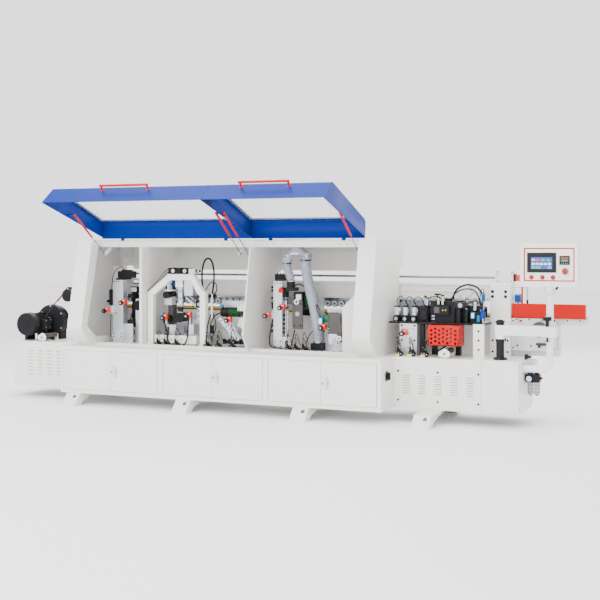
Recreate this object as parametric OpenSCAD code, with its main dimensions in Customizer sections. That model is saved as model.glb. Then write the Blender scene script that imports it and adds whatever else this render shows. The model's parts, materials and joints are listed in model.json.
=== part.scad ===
/* [Base cabinets] */
// Length of the main cabinet
cab_l = 3300; // [3300:10:3300]
// Underside of the cabinets above the floor
base_z = 115; // [110:1:120]
// Top of the cabinets above the floor
top_z = 565; // [565:1:565]
// Depth of the cabinets from the front of the main cabinet
cab_d = 900; // [900:5:900]
// Sheet thickness of the cabinets
sheet = 5; // [4:1:6]
// Thickness of the framed front
front_t = 20; // [18:1:22]
// Thickness of a door
door_t = 16; // [14:1:16]

/* [Hood] */
// Width of each end cap
cap_w = 166; // [160:2:170]
// Left face of the left end cap
hood_x0 = 46; // [46:1:46]
// Right face of the right end cap
hood_x1 = 3184; // [3184:1:3184]
// Top of the hood
hood_z = 1600; // [1600:1:1600]
// Sheet thickness of the covers
cover_t = 4; // [3:1:4]
// Angle the covers are opened by
cover_open = 98.5; // [98.5:0.1:98.5]

/* [Conveyor] */
// Height of the chain pads above the floor
work_z = 930; // [925:1:930]
// Thickness of board the beam is set for
board_t = 25; // [22:1:28]
// Distance between pressure rollers
roller_pitch = 70; // [70:1:72]
// Radius of a pressure roller
roller_r = 33; // [31:0.5:33]

/* [Control panel] */
// Width of the control panel
panel_w = 480; // [460:5:480]
// Height of the control panel
panel_h = 365; // [355:5:365]
// Radius of the panel's tube
tube_r = 30; // [26:1:30]

/* [Hidden] */
$fn = 64;

// the drawing counts x from the main cabinet's left end and y from its
// front; the part's own frame sits at the middle of everything, on the floor
mid_x = 2050;
mid_y = 189;

white = [0.93, 0.93, 0.92];
blue = [0.1, 0.35, 0.65];
red = [0.85, 0.15, 0.15];
black = [0.08, 0.08, 0.09];
steel = [0.7, 0.72, 0.74];
alu = [0.8, 0.81, 0.83];
grey = [0.4, 0.42, 0.45];

module at(x, y, z) {
    translate([x - mid_x, y - mid_y, z])
        children();
}

// box between two corners
module bx(a, b) {
    at(a[0], a[1], a[2])
        cube([b[0] - a[0], b[1] - a[1], b[2] - a[2]]);
}

// round bars from a start point along x, y or z
module rx(x, y, z, r, l, n = 64) {
    at(x, y, z)
        rotate([0, 90, 0])
            cylinder(r = r, h = l, $fn = n);
}

module ry(x, y, z, r, l, n = 64) {
    at(x, y, z)
        rotate([-90, 0, 0])
            cylinder(r = r, h = l, $fn = n);
}

module rz(x, y, z, r, l, n = 64) {
    at(x, y, z)
        cylinder(r = r, h = l, $fn = n);
}

// plate with a y-z outline, from x = x0, w thick
module yz_plate(pts, x0, w) {
    at(x0, 0, 0)
        rotate([90, 0, 90])
            linear_extrude(height = w)
                polygon(pts);
}

// plate with an x-z outline whose front lies at y0, t thick
module xz_plate(pts, y0, t) {
    at(0, y0 + t, 0)
        rotate([90, 0, 0])
            linear_extrude(height = t)
                polygon(pts);
}

function unit(v) = v / norm(v);

// points of one rounded corner of an anticlockwise outline, moved in by d
function corner(a, b, c, r, d, n) =
    let (
        u = unit(a - b),
        v = unit(c - b),
        s = sign(cross(b - a, c - b)),
        half = acos(u * v) / 2,
        m = b + unit(u + v) * r / sin(half),
        e = unit(b - a),
        a0 = atan2(-e[0], e[1]),
        turn = s * (180 - 2 * half)
    )
    [for (i = [0:n]) m + s * (r - s * d) * [cos(a0 + turn * i / n), sin(a0 + turn * i / n)]];

// outline with every corner rounded, p = list of [x, y, radius]
function rounded(p, d = 0, n = 6) =
    let (k = len(p))
    [for (i = [0:k - 1])
        for (q = corner(
            [p[(i + k - 1) % k][0], p[(i + k - 1) % k][1]],
            [p[i][0], p[i][1]],
            [p[(i + 1) % k][0], p[(i + 1) % k][1]],
            p[i][2], d, n))
            q];

// side outlines of the hood: y, z, corner radius, anticlockwise
cap_outline = [
    [200, 565, 6], [850, 565, 6], [850, 1333, 12], [975, 1333, 6],
    [975, 1600, 6], [215, 1600, 60], [32, 736, 60]
];

// closed cover: hinge axis and the corners of its folded sheet
hinge = [389, 1600];
cov_t = [215, 1600];
cov_k = [32, 736];
cov_b = [200, 572];

// struts: pivots on the hood and on the closed cover
strut_h = [300, 1467];
strut_c = [245, 985];

// a vector turned by t degrees
function turn2(v, t) = [v[0] * cos(t) - v[1] * sin(t), v[0] * sin(t) + v[1] * cos(t)];
// where a point of the closed cover sits once the cover is open
function opened(p) = hinge + turn2(p - hinge, -cover_open);

strut_o = opened(strut_c);
strut_v = strut_h - strut_o;
strut_len = norm(strut_v);
strut_a = atan2(strut_v[1], strut_v[0]);

// ------------------------------------------------------------ bases

foot_x = [70, 1288, 2476, 3592];

module foot() {
    difference() {
        rotate([90, 0, 90])
            linear_extrude(height = 152)
                polygon([[-100, 0], [10, 0], [60, 40], [330, 105],
                    [330, 115], [0, 115]]);
        translate([8, 0, 0])
            rotate([90, 0, 90])
                linear_extrude(height = 136)
                    polygon([[-86, 12], [14, 12], [14, -5], [400, -5], [400, 107], [4, 107]]);
        // levelling hole in the sloping front
        translate([106, -26, 85])
            rotate([49, 0, 0])
                translate([0, 0, -30])
                    cylinder(r = 20, h = 60);
        // anchor hole in the pad
        translate([40, -42, -1])
            cylinder(r = 9, h = 14);
    }
}

module feet() {
    color(white)
        for (x = foot_x)
            at(x, 0, 0)
                union() {
                    foot();
                    translate([0, 860, 0])
                        mirror([0, 1, 0])
                            foot();
                    difference() {
                        translate([0, 0, 95])
                            cube([152, 860, base_z - 95]);
                        translate([6, 20, 94])
                            cube([140, 820, 15]);
                    }
                }
}

door_z0 = 150;
door_z1 = 530;
// left and right edge of each door opening and the split between its doors
bays = [[30, 567, 1090], [1146, 1659, 2178], [2232, 2742, 3262]];

module main_cabinet() {
    color(white)
        difference() {
            bx([0, 0, base_z], [cab_l, cab_d, top_z]);
            // three bays inside
            bx([sheet, front_t, base_z + sheet], [1115, cab_d - sheet, top_z - sheet]);
            bx([1120, front_t, base_z + sheet], [2203, cab_d - sheet, top_z - sheet]);
            bx([2208, front_t, base_z + sheet], [cab_l - sheet, cab_d - sheet, top_z - sheet]);
            for (b = bays)
                bx([b[0], -1, door_z0], [b[2], front_t + 1, door_z1]);
            // bores for the door pivots
            for (b = bays)
                for (x = [b[0] + 12, b[2] - 12])
                    for (z = [door_z0 - 12, door_z1 - 1])
                        rz(x, 8, z, 4.05, 13, 32);
            // bore for the main switch's shaft
            rx(cab_l - 6, 150, 410, 6.05, 8, 32);
        }
}

module louvre_slots(x0, nx, px, z0, nz, pz, w, y0) {
    for (i = [0:nx - 1])
        for (j = [0:nz - 1])
            bx([x0 + i * px, y0 - 1, z0 + j * pz], [x0 + i * px + w, y0 + 12, z0 + j * pz + 7]);
}

module infeed_base() {
    color(white)
        difference() {
            bx([cab_l, 310, base_z], [4410, cab_d, top_z]);
            bx([cab_l + sheet, 310 + sheet, base_z - 1], [4410 - sheet, cab_d - sheet, top_z - sheet]);
            louvre_slots(3396, 5, 142, 250, 8, 22, 64, 310);
        }
    color(white) {
        roller_stand(roller_in, 336);
        roller_stand(roller_in, 556);
    }
}

module outfeed_base() {
    color(white)
        difference() {
            bx([-790, 300, base_z], [0, cab_d, top_z]);
            bx([-790 + sheet, 300 + sheet, base_z - 1], [-sheet, cab_d - sheet, top_z - sheet]);
            louvre_slots(-625, 4, 116, 232, 8, 34, 62, 300);
        }
    color(white) {
        roller_stand(roller_out, 336);
        roller_stand(roller_out, 556);
    }
}

// ------------------------------------------------------------ hood

module end_cap(x0, outer_left) {
    wall_x = outer_left ? x0 : x0 + cap_w - 5;
    lip_x = outer_left ? x0 + cap_w - 5 : x0;
    difference() {
        yz_plate(rounded(cap_outline), x0, cap_w);
        yz_plate(rounded(cap_outline, 5), x0 + 5, cap_w - 10);
        // the inner wall keeps only a folded lip along its edges
        yz_plate([[290, 640], [790, 640], [790, 1420], [905, 1420], [905, 1540],
            [330, 1540], [130, 760]], lip_x - 1, 7);
    }
}

module hinge_knuckle(x) {
    difference() {
        bx([x, 382, 1585], [x + 24, 396, 1607]);
        rx(x - 1, hinge[0], hinge[1], 4.05, 26, 32);
    }
}

// start of each cover's two hinge barrels
barrels_l = [440, 1590];
barrels_r = [2060, 2790];

// x of each strut: two on the left cover, two on the right one
struts_l = [300, 1812];
struts_r = [1890, 2995];

module strut_bracket(x, side) {
    // plate under the beam that carries the lower end of a strut
    union() {
        yz_plate(rounded([[290, 1452, 6], [320, 1452, 14], [404, 1500, 14],
            [404, 1560, 2], [376, 1560, 2], [376, 1526, 2], [286, 1482, 10]]),
            side > 0 ? x - 18 : x + 13, 5);
        rx(side > 0 ? x - 13 : x + 6.5, strut_h[0], strut_h[1], 6, 6.5, 24);
    }
}

module hood() {
    color(white)
        union() {
            end_cap(hood_x0, true);
            end_cap(hood_x1 - cap_w, false);
            // front beam, top sheet and rear wall
            difference() {
                bx([hood_x0 + cap_w, 375, 1530], [hood_x1 - cap_w, 440, 1585]);
                bx([hood_x0 + cap_w - 1, 379, 1526], [hood_x1 - cap_w + 1, 436, 1581]);
            }
            bx([hood_x0 + cap_w, 403, 1585], [hood_x1 - cap_w, 440, 1600]);
            bx([hood_x0 + cap_w, 440, 1596], [hood_x1 - cap_w, 975, 1600]);
            bx([hood_x0 + cap_w, 970, 1300], [hood_x1 - cap_w, 975, 1596]);
            // ribs of the rear wall
            for (z = [1340, 1420, 1500])
                bx([hood_x0 + cap_w, 962, z], [hood_x1 - cap_w, 970, z + 12]);
            // partitions
            yz_plate([[255, 565], [800, 565], [800, 1245], [970, 1300], [970, 1596],
                [441, 1596], [441, 1531], [255, 1531]], 733, 28);
            yz_plate([[215, 565], [800, 565], [800, 1245], [970, 1300], [970, 1596],
                [441, 1596], [441, 1531], [272, 1531], [112, 720]], 1914, 14);
            // strip under the partitions' front, standing on the cabinet
            bx([hood_x0 + cap_w, 262, 565], [hood_x1 - cap_w, 266, 590]);
            // inner guard at the infeed end with its slanted top
            xz_plate([[2830, 565], [2955, 565], [2955, 1110], [2830, 990]], 300, 4);
            bx([2955, 300, 565], [3018, 304, 1110]);
            for (x = [barrels_l[0], barrels_l[1], barrels_r[0], barrels_r[1]]) {
                hinge_knuckle(x - 25);
                hinge_knuckle(x + 41);
            }
            strut_bracket(struts_l[0], -1);
            strut_bracket(struts_l[1], 1);
            strut_bracket(struts_r[0], -1);
            strut_bracket(struts_r[1], 1);
        }
}

// ------------------------------------------------------------ covers

// a point list moved into the open cover
function open_pts(p) = [for (q = p) opened(q)];

// unit vectors along the long panel, across it, along the flange, across it
pane_d = unit(cov_t - cov_k);
pane_n = [pane_d[1], -pane_d[0]];
lip_d = unit(cov_b - cov_k);
lip_n = [lip_d[1], -lip_d[0]];

function on_pane(s, d) = cov_k + pane_d * s + pane_n * d;
function on_lip(s, d) = cov_k + lip_d * s + lip_n * d;

// inside corners of the folded sheet
cov_ki = cov_k + unit(pane_d + lip_d) * cover_t / sin(acos(pane_d * lip_d) / 2);
cov_ti = cov_t + unit([1, 0] - pane_d) * cover_t / sin(acos(-pane_d[0]) / 2);

module cover(x0, x1, xo, barrels, struts) {
    // xo: left face of the right side panel; the left one starts at x0
    sheet_o = rounded([[cov_b[0], cov_b[1], 1.5],
        [cov_b[0] - lip_n[0] * cover_t, cov_b[1] - lip_n[1] * cover_t, 1],
        [cov_ki[0], cov_ki[1], 56], [cov_ti[0], cov_ti[1], 56],
        [378, 1600 - cover_t, 1], [378, 1600, 1], [cov_t[0], cov_t[1], 60],
        [cov_k[0], cov_k[1], 60]]);
    side_o = rounded([[cov_b[0], cov_b[1], 1], [365, 1600, 1],
        [cov_t[0], cov_t[1], 60], [cov_k[0], cov_k[1], 60]]);
    union() {
        difference() {
            yz_plate(open_pts(sheet_o), x0, x1 - x0);
            // window through the long panel
            yz_plate(open_pts([on_pane(52, 12), on_pane(808, 12),
                on_pane(808, -8), on_pane(52, -8)]), x0 + 34, xo - x0 - 64);
        }
        for (x = [x0, xo])
            yz_plate(open_pts(side_o), x, 4);
        for (x = barrels) {
            rx(x, hinge[0], hinge[1], 7, 40, 32);
            rx(x - 22, hinge[0], hinge[1], 4, 84, 32);
            yz_plate(open_pts([[376, 1595], [389, 1594], [389, 1600], [376, 1600]]), x, 40);
        }
        // studs and pins that carry the strut tubes
        rx(x0 + 4, strut_o[0], strut_o[1], 9, struts[0] - x0 - 12.5, 32);
        rx(x0 + 4, strut_o[0], strut_o[1], 4, struts[0] - x0 + 5, 32);
        rx(struts[1] + 8.5, strut_o[0], strut_o[1], 9, xo - struts[1] - 8.5, 32);
        rx(struts[1] - 9, strut_o[0], strut_o[1], 4, xo - struts[1] + 9, 32);
    }
    // clear pane on the inside of the window
    yz_plate(open_pts([on_pane(40, 4), on_pane(822, 4), on_pane(822, 7), on_pane(40, 7)]),
        x0 + 18, xo - x0 - 32);
}

module cover_left() {
    color(blue)
        cover(217, 1869, 1865, barrels_l, struts_l);
}

module cover_right() {
    color(blue)
        cover(1872, 3013, 3009, barrels_r, struts_r);
}

// bar with two legs standing on the open cover's flange
module cover_handle(x0, x1) {
    p = opened(on_lip(66, 0));
    n = opened(on_lip(66, 1)) - p;
    q = p + n * 56;
    a = atan2(n[1], n[0]);
    color(red)
        union() {
            rx(x0 - 14, q[0], q[1], 11, x1 - x0 + 28, 32);
            for (x = [x0, x1]) {
                rod_yz(x, p, a, 9, 56, 32);
                rod_yz(x, p, a, 17, 5, 32);
            }
        }
}

// round bar in a y-z plane from point p, direction a degrees
module rod_yz(x, p, a, r, l, n = 48) {
    at(x, p[0], p[1])
        rotate([a - 90, 0, 0])
            cylinder(r = r, h = l, $fn = n);
}

module cover_handle_left() {
    cover_handle(795, 1275);
}

module cover_handle_right() {
    cover_handle(2200, 2650);
}

strut_n = [cos(strut_a), sin(strut_a)];

module strut_tube(x) {
    difference() {
        union() {
            rx(x - 8, strut_o[0], strut_o[1], 11, 16, 32);
            rod_yz(x, strut_o + strut_n * 9.3, strut_a, 10, 335.7, 32);
        }
        rx(x - 11, strut_o[0], strut_o[1], 4.05, 22, 32);
        rod_yz(x, strut_o + strut_n * 30, strut_a, 7, 295, 32);
        rod_yz(x, strut_o + strut_n * 320, strut_a, 4.05, 30, 32);
    }
}

module strut_rod(x) {
    difference() {
        union() {
            rod_yz(x, strut_o + strut_n * 280, strut_a, 4, strut_len - 280, 32);
            rod_yz(x, strut_o + strut_n * 268, strut_a, 6.5, 14, 32);
            rx(x - 6, strut_h[0], strut_h[1], 9, 12, 32);
        }
        rx(x - 7, strut_h[0], strut_h[1], 4, 14, 32);
    }
}

module strut_tubes_left() {
    color(red)
        for (x = struts_l)
            strut_tube(x);
}

module strut_rods_left() {
    color(steel)
        for (x = struts_l)
            strut_rod(x);
}

module strut_tubes_right() {
    color(red)
        for (x = struts_r)
            strut_tube(x);
}

module strut_rods_right() {
    color(steel)
        for (x = struts_r)
            strut_rod(x);
}

// ------------------------------------------------------------ doors

module door(x0, x1, pin_x) {
    color(white)
        difference() {
            union() {
                bx([x0, 0, door_z0 + 2.5], [x1, door_t, door_z1 - 2.5]);
                rz(pin_x, 8, door_z0 - 10, 4, 20, 32);
                rz(pin_x, 8, door_z1 - 10, 4, 20, 32);
            }
            bx([x0 + 22, 3, door_z0 + 24], [x1 - 22, door_t + 1, door_z1 - 24]);
        }
}

module latched_door(x0, x1, pin_x, latch_x) {
    color(white)
        difference() {
            union() {
                door(x0, x1, pin_x);
                ry(latch_x, 2, 340, 16, 12, 32);
                // key lock
                ry(x0 + 16, -3, 336, 8, 5, 24);
            }
            ry(latch_x, -5, 340, 6.05, 24, 32);
        }
}

module latch(x) {
    color(steel)
        union() {
            at(x, -16, 340)
                rotate([-90, 0, 0])
                    linear_extrude(height = 11)
                        polygon(rounded([[-15, -50, 14], [15, -50, 14], [15, 50, 14], [-15, 50, 14]]));
            ry(x, -5.5, 340, 11, 5.2, 32);
            ry(x, -5.5, 340, 6, 23.5, 32);
            bx([x - 8, 16.5, 300], [x + 8, 20, 350]);
        }
}

module door_1() { door(bays[0][0] + 5, bays[0][1] - 1.5, bays[0][0] + 12); }

module door_2() { latched_door(bays[0][1] + 1.5, bays[0][2] - 5, bays[0][2] - 12, 618); }

module door_3() { door(bays[1][0] + 5, bays[1][1] - 1.5, bays[1][0] + 12); }

module door_4() { latched_door(bays[1][1] + 1.5, bays[1][2] - 5, bays[1][2] - 12, 1713); }

module door_5() { door(bays[2][0] + 5, bays[2][1] - 1.5, bays[2][0] + 12); }

module door_6() { latched_door(bays[2][1] + 1.5, bays[2][2] - 5, bays[2][2] - 12, 2797); }

module latch_1() { latch(618); }

module latch_2() { latch(1713); }

module latch_3() { latch(2797); }

module main_switch() {
    color(black)
        union() {
            rx(cab_l + 0.4, 150, 410, 26, 12, 48);
            rx(cab_l - 8, 150, 410, 6, 9, 32);
            bx([cab_l + 10, 142, 378], [cab_l + 34, 158, 442]);
        }
}

// ------------------------------------------------------------ conveyor

track_y = [862, 958];
track_x = [-420, 4890];
// where the track's tall part ends
tall_x = 4656;

module conveyor_track() {
    color(white)
        union() {
            difference() {
                bx([track_x[0], track_y[0], top_z], [tall_x, track_y[1], 905]);
                bx([track_x[0] + 6, track_y[0] + 6, top_z - 1], [tall_x - 6, track_y[1] - 6, 899]);
            }
            // shallow end that carries the chain on to the infeed side
            difference() {
                bx([tall_x, track_y[0], 846], [track_x[1], track_y[1], 905]);
                bx([tall_x + 6, track_y[0] + 6, 845], [track_x[1] - 6, track_y[1] - 6, 899]);
            }
            // chain guides and the board's support rail behind them
            bx([track_x[0], 862, 905], [track_x[1], 870, 922]);
            bx([track_x[0], 950, 905], [track_x[1], 958, 922]);
            // front panel of the track inside the hood
            bx([760, 850, 600], [1912, 862, 880]);
            bx([1930, 850, 600], [2980, 862, 880]);
        }
}

module conveyor_chain() {
    color(black)
        union() {
            bx([track_x[0] + 10, 878, 905], [track_x[1] - 10, 942, 916]);
            for (i = [0:64])
                bx([track_x[0] + 30 + i * 80.6, 873, 914], [track_x[0] + 102 + i * 80.6, 947, work_z]);
        }
}

beam_x = [44, 4052];
roller_z = work_z + board_t + roller_r;
roller_n = 54;
roller_x0 = 210;

module pressure_beam() {
    color(white)
        union() {
            difference() {
                bx([beam_x[0], 868, 1045], [beam_x[1], 952, 1205]);
                bx([beam_x[0] + 6, 874, 1051], [beam_x[1] - 6, 946, 1199]);
            }
            bx([beam_x[0], 858, 1060], [beam_x[1], 868, 1070]);
            bx([beam_x[0], 858, 1180], [beam_x[1], 868, 1190]);
            // roller hangers and axles
            bx([roller_x0 - 40, 932, 1010], [roller_x0 + (roller_n - 1) * roller_pitch + 40, 942, 1045]);
            for (i = [0:roller_n - 1]) {
                bx([roller_x0 + i * roller_pitch - 12, 932, roller_z - 14],
                    [roller_x0 + i * roller_pitch + 12, 942, 1012]);
                ry(roller_x0 + i * roller_pitch, 884, roller_z, 8, 50, 24);
            }
            // tongues that run in the columns
            bx([beam_x[1] - 2, 900, 1080], [beam_x[1] + 40, 920, 1170]);
            bx([beam_x[0] - 38, 900, 1080], [beam_x[0] + 2, 920, 1170]);
        }
}

module pressure_rollers() {
    color(grey)
        for (i = [0:roller_n - 1])
            difference() {
                ry(roller_x0 + i * roller_pitch, 886, roller_z, roller_r, 44, 40);
                ry(roller_x0 + i * roller_pitch, 880, roller_z, 8.2, 60, 24);
            }
}

module lift_column(x0, x1, tx0, tx1) {
    // column with a slot for the beam's tongue; the board runs behind it
    difference() {
        union() {
            bx([x0, 770, top_z], [x1, 836, 1196]);
            bx([x0, 836, top_z], [x1, 862, 895]);
            bx([x0, 836, 1000], [x1, 960, 1196]);
            bx([x0, 840, 1196], [x1, 960, 1206]);
        }
        bx([tx0, 899.4, 1010], [tx1, 920.6, 1202]);
    }
}

module lift_columns() {
    color(white)
        union() {
            difference() {
                lift_column(4060, 4243, 4059, 4094);
                // mounting holes near the column's top
                for (x = [4082, 4200])
                    for (z = [1090, 1134])
                        ry(x, 769, z, 8, 20, 24);
            }
            lift_column(-90, 38, 4, 39);
            // stand under the strip feed
            difference() {
                bx([3987, 450, top_z], [4084, 470, 860]);
                for (z = [640, 720, 800])
                    ry(4035, 449, z, 9, 30, 24);
            }
            bx([3987, 450, top_z], [4084, 600, top_z + 14]);
            // bracket plate beyond the infeed end
            difference() {
                bx([4243, 790, 615], [4640, 802, 900]);
                for (x = [4330, 4560])
                    ry(x, 789, 880, 10.05, 14, 32);
                ry(4500, 789, 808, 10.05, 14, 32);
                for (x = [4300, 4420, 4600])
                    ry(x, 789, 660, 7, 14, 24);
            }
            bx([4560, 802, 640], [4572, 862, 860]);
            bx([4243, 802, 615], [4255, 836, 840]);
            // gearboxes
            difference() {
                bx([4078, 890, 1206], [4243, 958, 1302]);
                rx(4077, 930, 1253, 11.05, 170, 40);
            }
            difference() {
                bx([-80, 890, 1206], [28, 958, 1302]);
                rx(-41, 930, 1253, 11.05, 80, 40);
            }
        }
}

module sync_shaft() {
    color(steel)
        union() {
            rx(-40, 930, 1253, 11, 4298, 40);
            rx(4243.4, 930, 1253, 17, 14, 6);
        }
}

// ------------------------------------------------------------ drive

module drive_motor() {
    // motor's axis, then the reducer's
    mx = -672;
    mz = 735;
    gx = -580;
    gz = 758;
    color(black)
        union() {
            // fan cover, ribbed body, flange and reducer
            ry(mx, 326, mz, 116, 74);
            ry(mx, 398, mz, 98, 204);
            for (a = [0:15:345])
                at(mx, 404, mz)
                    rotate([0, a, 0])
                        translate([94, 0, -2])
                            cube([14, 180, 4]);
            ry(mx, 596, mz, 118, 22);
            ry(gx, 616, gz, 165, 60);
            ry(gx, 674, gz, 150, 70);
            ry(gx, 740, gz, 40, 122);
            // feet
            bx([mx - 95, 430, top_z], [mx - 60, 560, mz - 50]);
            bx([mx + 60, 430, top_z], [mx + 95, 560, mz - 50]);
            bx([gx - 120, 630, top_z], [gx + 120, 730, gz - 80]);
            // terminal box
            bx([mx + 86, 440, mz - 60], [mx + 146, 560, mz + 45]);
            // small motor on its plate
            bx([-500, 850, 640], [-350, 862, 1100]);
            ry(-425, 720, 1020, 62, 131);
            ry(-425, 690, 1020, 66, 34);
        }
}

module roller_stand(x, y) {
    difference() {
        union() {
            bx([x - 18, y, top_z], [x + 18, y + 10, 620]);
            ry(x, y, 620, 18, 10, 32);
        }
        ry(x, y - 1, 620, 8.05, 12, 32);
    }
}

module idle_roller(x) {
    color(white)
        union() {
            ry(x, 322, 620, 30, 8, 48);
            ry(x, 330, 620, 8, 244, 32);
            ry(x, 354, 620, 24, 196, 40);
        }
}

roller_in = 3768;
roller_out = -465;

module outfeed_roller() { idle_roller(roller_out); }

module infeed_roller() { idle_roller(roller_in); }

// ------------------------------------------------------------ gluing

press_x = [3248, 3330, 3412];
press_y = 806;

module glue_unit() {
    color(black)
        difference() {
            union() {
                // table that carries press rollers and head
                bx([3206, 470, 849], [4080, 762, 861]);
                bx([3206, 762, 849], [3460, 846, 861]);
                // glue pot with its head
                bx([3560, 600, 861], [3780, 780, 1046]);
                bx([3600, 560, 930], [3740, 600, 1010]);
                rz(3670, 800, 900, 34, 128, 40);
                bx([3640, 775, 985], [3700, 805, 1000]);
                // knob on the pot's lid
                rz(3615, 640, 1046, 8, 56, 24);
                rz(3615, 640, 1100, 28, 14, 32);
                rz(3615, 640, 1046, 20, 6, 32);
                // strip guide and cutter towards the infeed
                bx([3790, 640, 861], [4040, 660, 1010]);
                bx([3800, 700, 905], [4050, 716, 1000]);
                bx([3930, 600, 861], [4010, 760, 960]);
                bx([3830, 660, 861], [3850, 700, 980]);
                rz(3820, 600, 861, 26, 150, 40);
                rz(3890, 600, 861, 20, 120, 40);
                bx([3786, 560, 990], [3900, 640, 1040]);
                // bearing arms of the press rollers
                for (x = press_x)
                    bx([x - 22, 660, 861], [x + 22, 740, 885]);
                bx([3440, 600, 861], [3540, 760, 1000]);
                bx([3480, 560, 880], [3530, 600, 960]);
                // legs
                bx([3490, 500, top_z], [3530, 540, 849]);
                bx([3560, 640, top_z], [3600, 700, 849]);
                bx([3780, 640, top_z], [3820, 700, 849]);
            }
            for (x = press_x)
                rz(x, press_y, 848, 7.05, 14, 32);
        }
}

module press_roller(i) {
    color(grey)
        union() {
            rz(press_x[i], press_y, 866, i == 0 ? 37 : 34, 156, 48);
            rz(press_x[i], press_y, 850, 7, 190, 32);
            rz(press_x[i], press_y, 861.4, 16, 6, 32);
        }
}

module press_roller_1() { press_roller(0); }

module press_roller_2() { press_roller(1); }

module press_roller_3() { press_roller(2); }

// guard box of perforated sheet that catches the strip's offcuts
module strip_basket() {
    x0 = 3600;
    x1 = 3880;
    z0 = 668;
    z1 = 849;
    color(red)
        difference() {
            bx([x0, 380, z0], [x1, 560, z1]);
            bx([x0 + 3, 383, z0 + 3], [x1 - 3, 557, z1 + 1]);
            for (i = [0:6])
                for (j = [0:3])
                    at(x0 + 32 + i * 36, 370, z0 + 26 + j * 36 + (i % 2) * 14)
                        rotate([-90, 0, 0])
                            cylinder(r = 13, h = 200, $fn = 6);
            for (i = [0:3])
                for (j = [0:3])
                    at(x0 - 10, 412 + i * 38, z0 + 30 + j * 36 + (i % 2) * 12)
                        rotate([0, 90, 0])
                            cylinder(r = 12, h = 310, $fn = 6);
        }
}

module strip_disc() {
    color(grey)
        difference() {
            union() {
                ry(4500, 752, 808, 68, 12);
                ry(4500, 740, 808, 22, 14, 32);
                ry(4500, 764, 808, 10, 34, 32);
            }
            ry(4500, 739, 808, 4, 8, 24);
        }
}

module fence() {
    color(red)
        union() {
            bx([4250, 800, 905], [4888, 842, 1030]);
            for (x = [4330, 4560]) {
                bx([x - 24, 825, 866], [x + 24, 842, 905]);
                ry(x, 762, 880, 10, 64, 32);
            }
        }
}

// ------------------------------------------------------------ panel

tube_x = 4650;
tube_y = 445;
tube_z = 497;

module panel_tube() {
    color(white)
        difference() {
            union() {
                rx(4410, tube_y, tube_z, 62, 12);
                rx(4410, tube_y, tube_z, tube_r, tube_x - 4410 - 70);
                at(tube_x - 70, tube_y, tube_z + 70)
                    rotate([90, 90, 0])
                        rotate_extrude(angle = 90)
                            translate([70, 0])
                                circle(r = tube_r);
                rz(tube_x, tube_y, tube_z + 70, tube_r, 1150 - tube_z - 70);
            }
            // bore the panel's spigot turns in
            rz(tube_x, tube_y, 1060, 20.05, 91, 48);
        }
}

key_x = [4503, 4595, 4683];
stop_at = [4784, 1328];
panel_z0 = 1200;
panel_y0 = 396;

module control_panel() {
    px0 = tube_x - panel_w / 2;
    color(white)
        union() {
            difference() {
                bx([px0, panel_y0, panel_z0], [px0 + panel_w, panel_y0 + 98, panel_z0 + panel_h]);
                // hollow behind the front plate
                bx([px0 + 4, panel_y0 + 14, panel_z0 + 4],
                    [px0 + panel_w - 4, panel_y0 + 94, panel_z0 + panel_h - 4]);
                // recessed field with screen and controller left standing
                difference() {
                    bx([px0 + 28, panel_y0 - 1, panel_z0 + 42],
                        [px0 + panel_w - 28, panel_y0 + 2, panel_z0 + panel_h - 40]);
                    bx([4467, panel_y0, 1316], [4711, panel_y0 + 3, 1484]);
                    bx([4737, panel_y0, 1382], [4823, panel_y0 + 3, 1458]);
                }
                for (x = key_x)
                    ry(x, panel_y0 - 1, 1276, 8.05, 17, 32);
                ry(stop_at[0], panel_y0 - 1, stop_at[1], 8.05, 17, 32);
            }
            // collar and spigot
            rz(tube_x, tube_y, 1151, 44, 50);
            rz(tube_x, tube_y, 1070, 20, 84, 48);
        }
}

module key(i) {
    color(red)
        union() {
            ry(key_x[i], panel_y0 - 8, 1276, 14, 6, 40);
            ry(key_x[i], panel_y0 - 4, 1276, 8, 26, 32);
        }
}

module key_1() { key(0); }

module key_2() { key(1); }

module key_3() { key(2); }

module stop_button() {
    color(red)
        union() {
            ry(stop_at[0], panel_y0 - 32, stop_at[1], 20, 14, 48);
            ry(stop_at[0], panel_y0 - 19, stop_at[1], 8, 42, 32);
        }
}

module support_arm() {
    color(white)
        difference() {
            union() {
                bx([4190, 404, 776], [4610, 486, 862]);
                bx([4600, 352, 776], [4712, 500, 862]);
                rz(4226, tube_y, 744, 44, 32);
            }
            rz(tube_x, tube_y, 770, tube_r + 0.3, 100);
            rz(4640, 378, 770, 8.05, 100, 32);
            rz(4226, tube_y, 740, 34.3, 130);
        }
}

module clamp_knob() {
    color(black)
        union() {
            rz(4640, 378, 740, 8, 182, 32);
            rz(4640, 378, 864, 14, 52, 32);
            difference() {
                rz(4640, 378, 914, 36, 32, 48);
                for (a = [0:45:315])
                    at(4640, 378, 913)
                        rotate([0, 0, a])
                            translate([39, 0, 0])
                                cylinder(r = 9, h = 34, $fn = 24);
            }
            rz(4640, 378, 736, 13, 12, 6);
        }
}

module air_unit() {
    color(black)
        union() {
            bx([4410, 560, 380], [4422, 660, 430]);
            bx([4422, 575, 365], [4536, 645, 435]);
            // regulator knob, gauge and the two bowls
            rz(4452, 610, 435, 26, 36, 40);
            rz(4452, 610, 258, 26, 108, 40);
            rz(4508, 610, 258, 26, 108, 40);
            rz(4508, 610, 435, 20, 22, 32);
            ry(4452, 540, 400, 22, 36, 40);
            rx(4534, 610, 400, 13, 16, 32);
            bx([4410, 560, 560], [4430, 640, 605]);
            rx(4430, 580, 582, 10, 26, 24);
            rx(4430, 618, 582, 10, 26, 24);
        }
}

// ------------------------------------------------------------ working units

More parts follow.
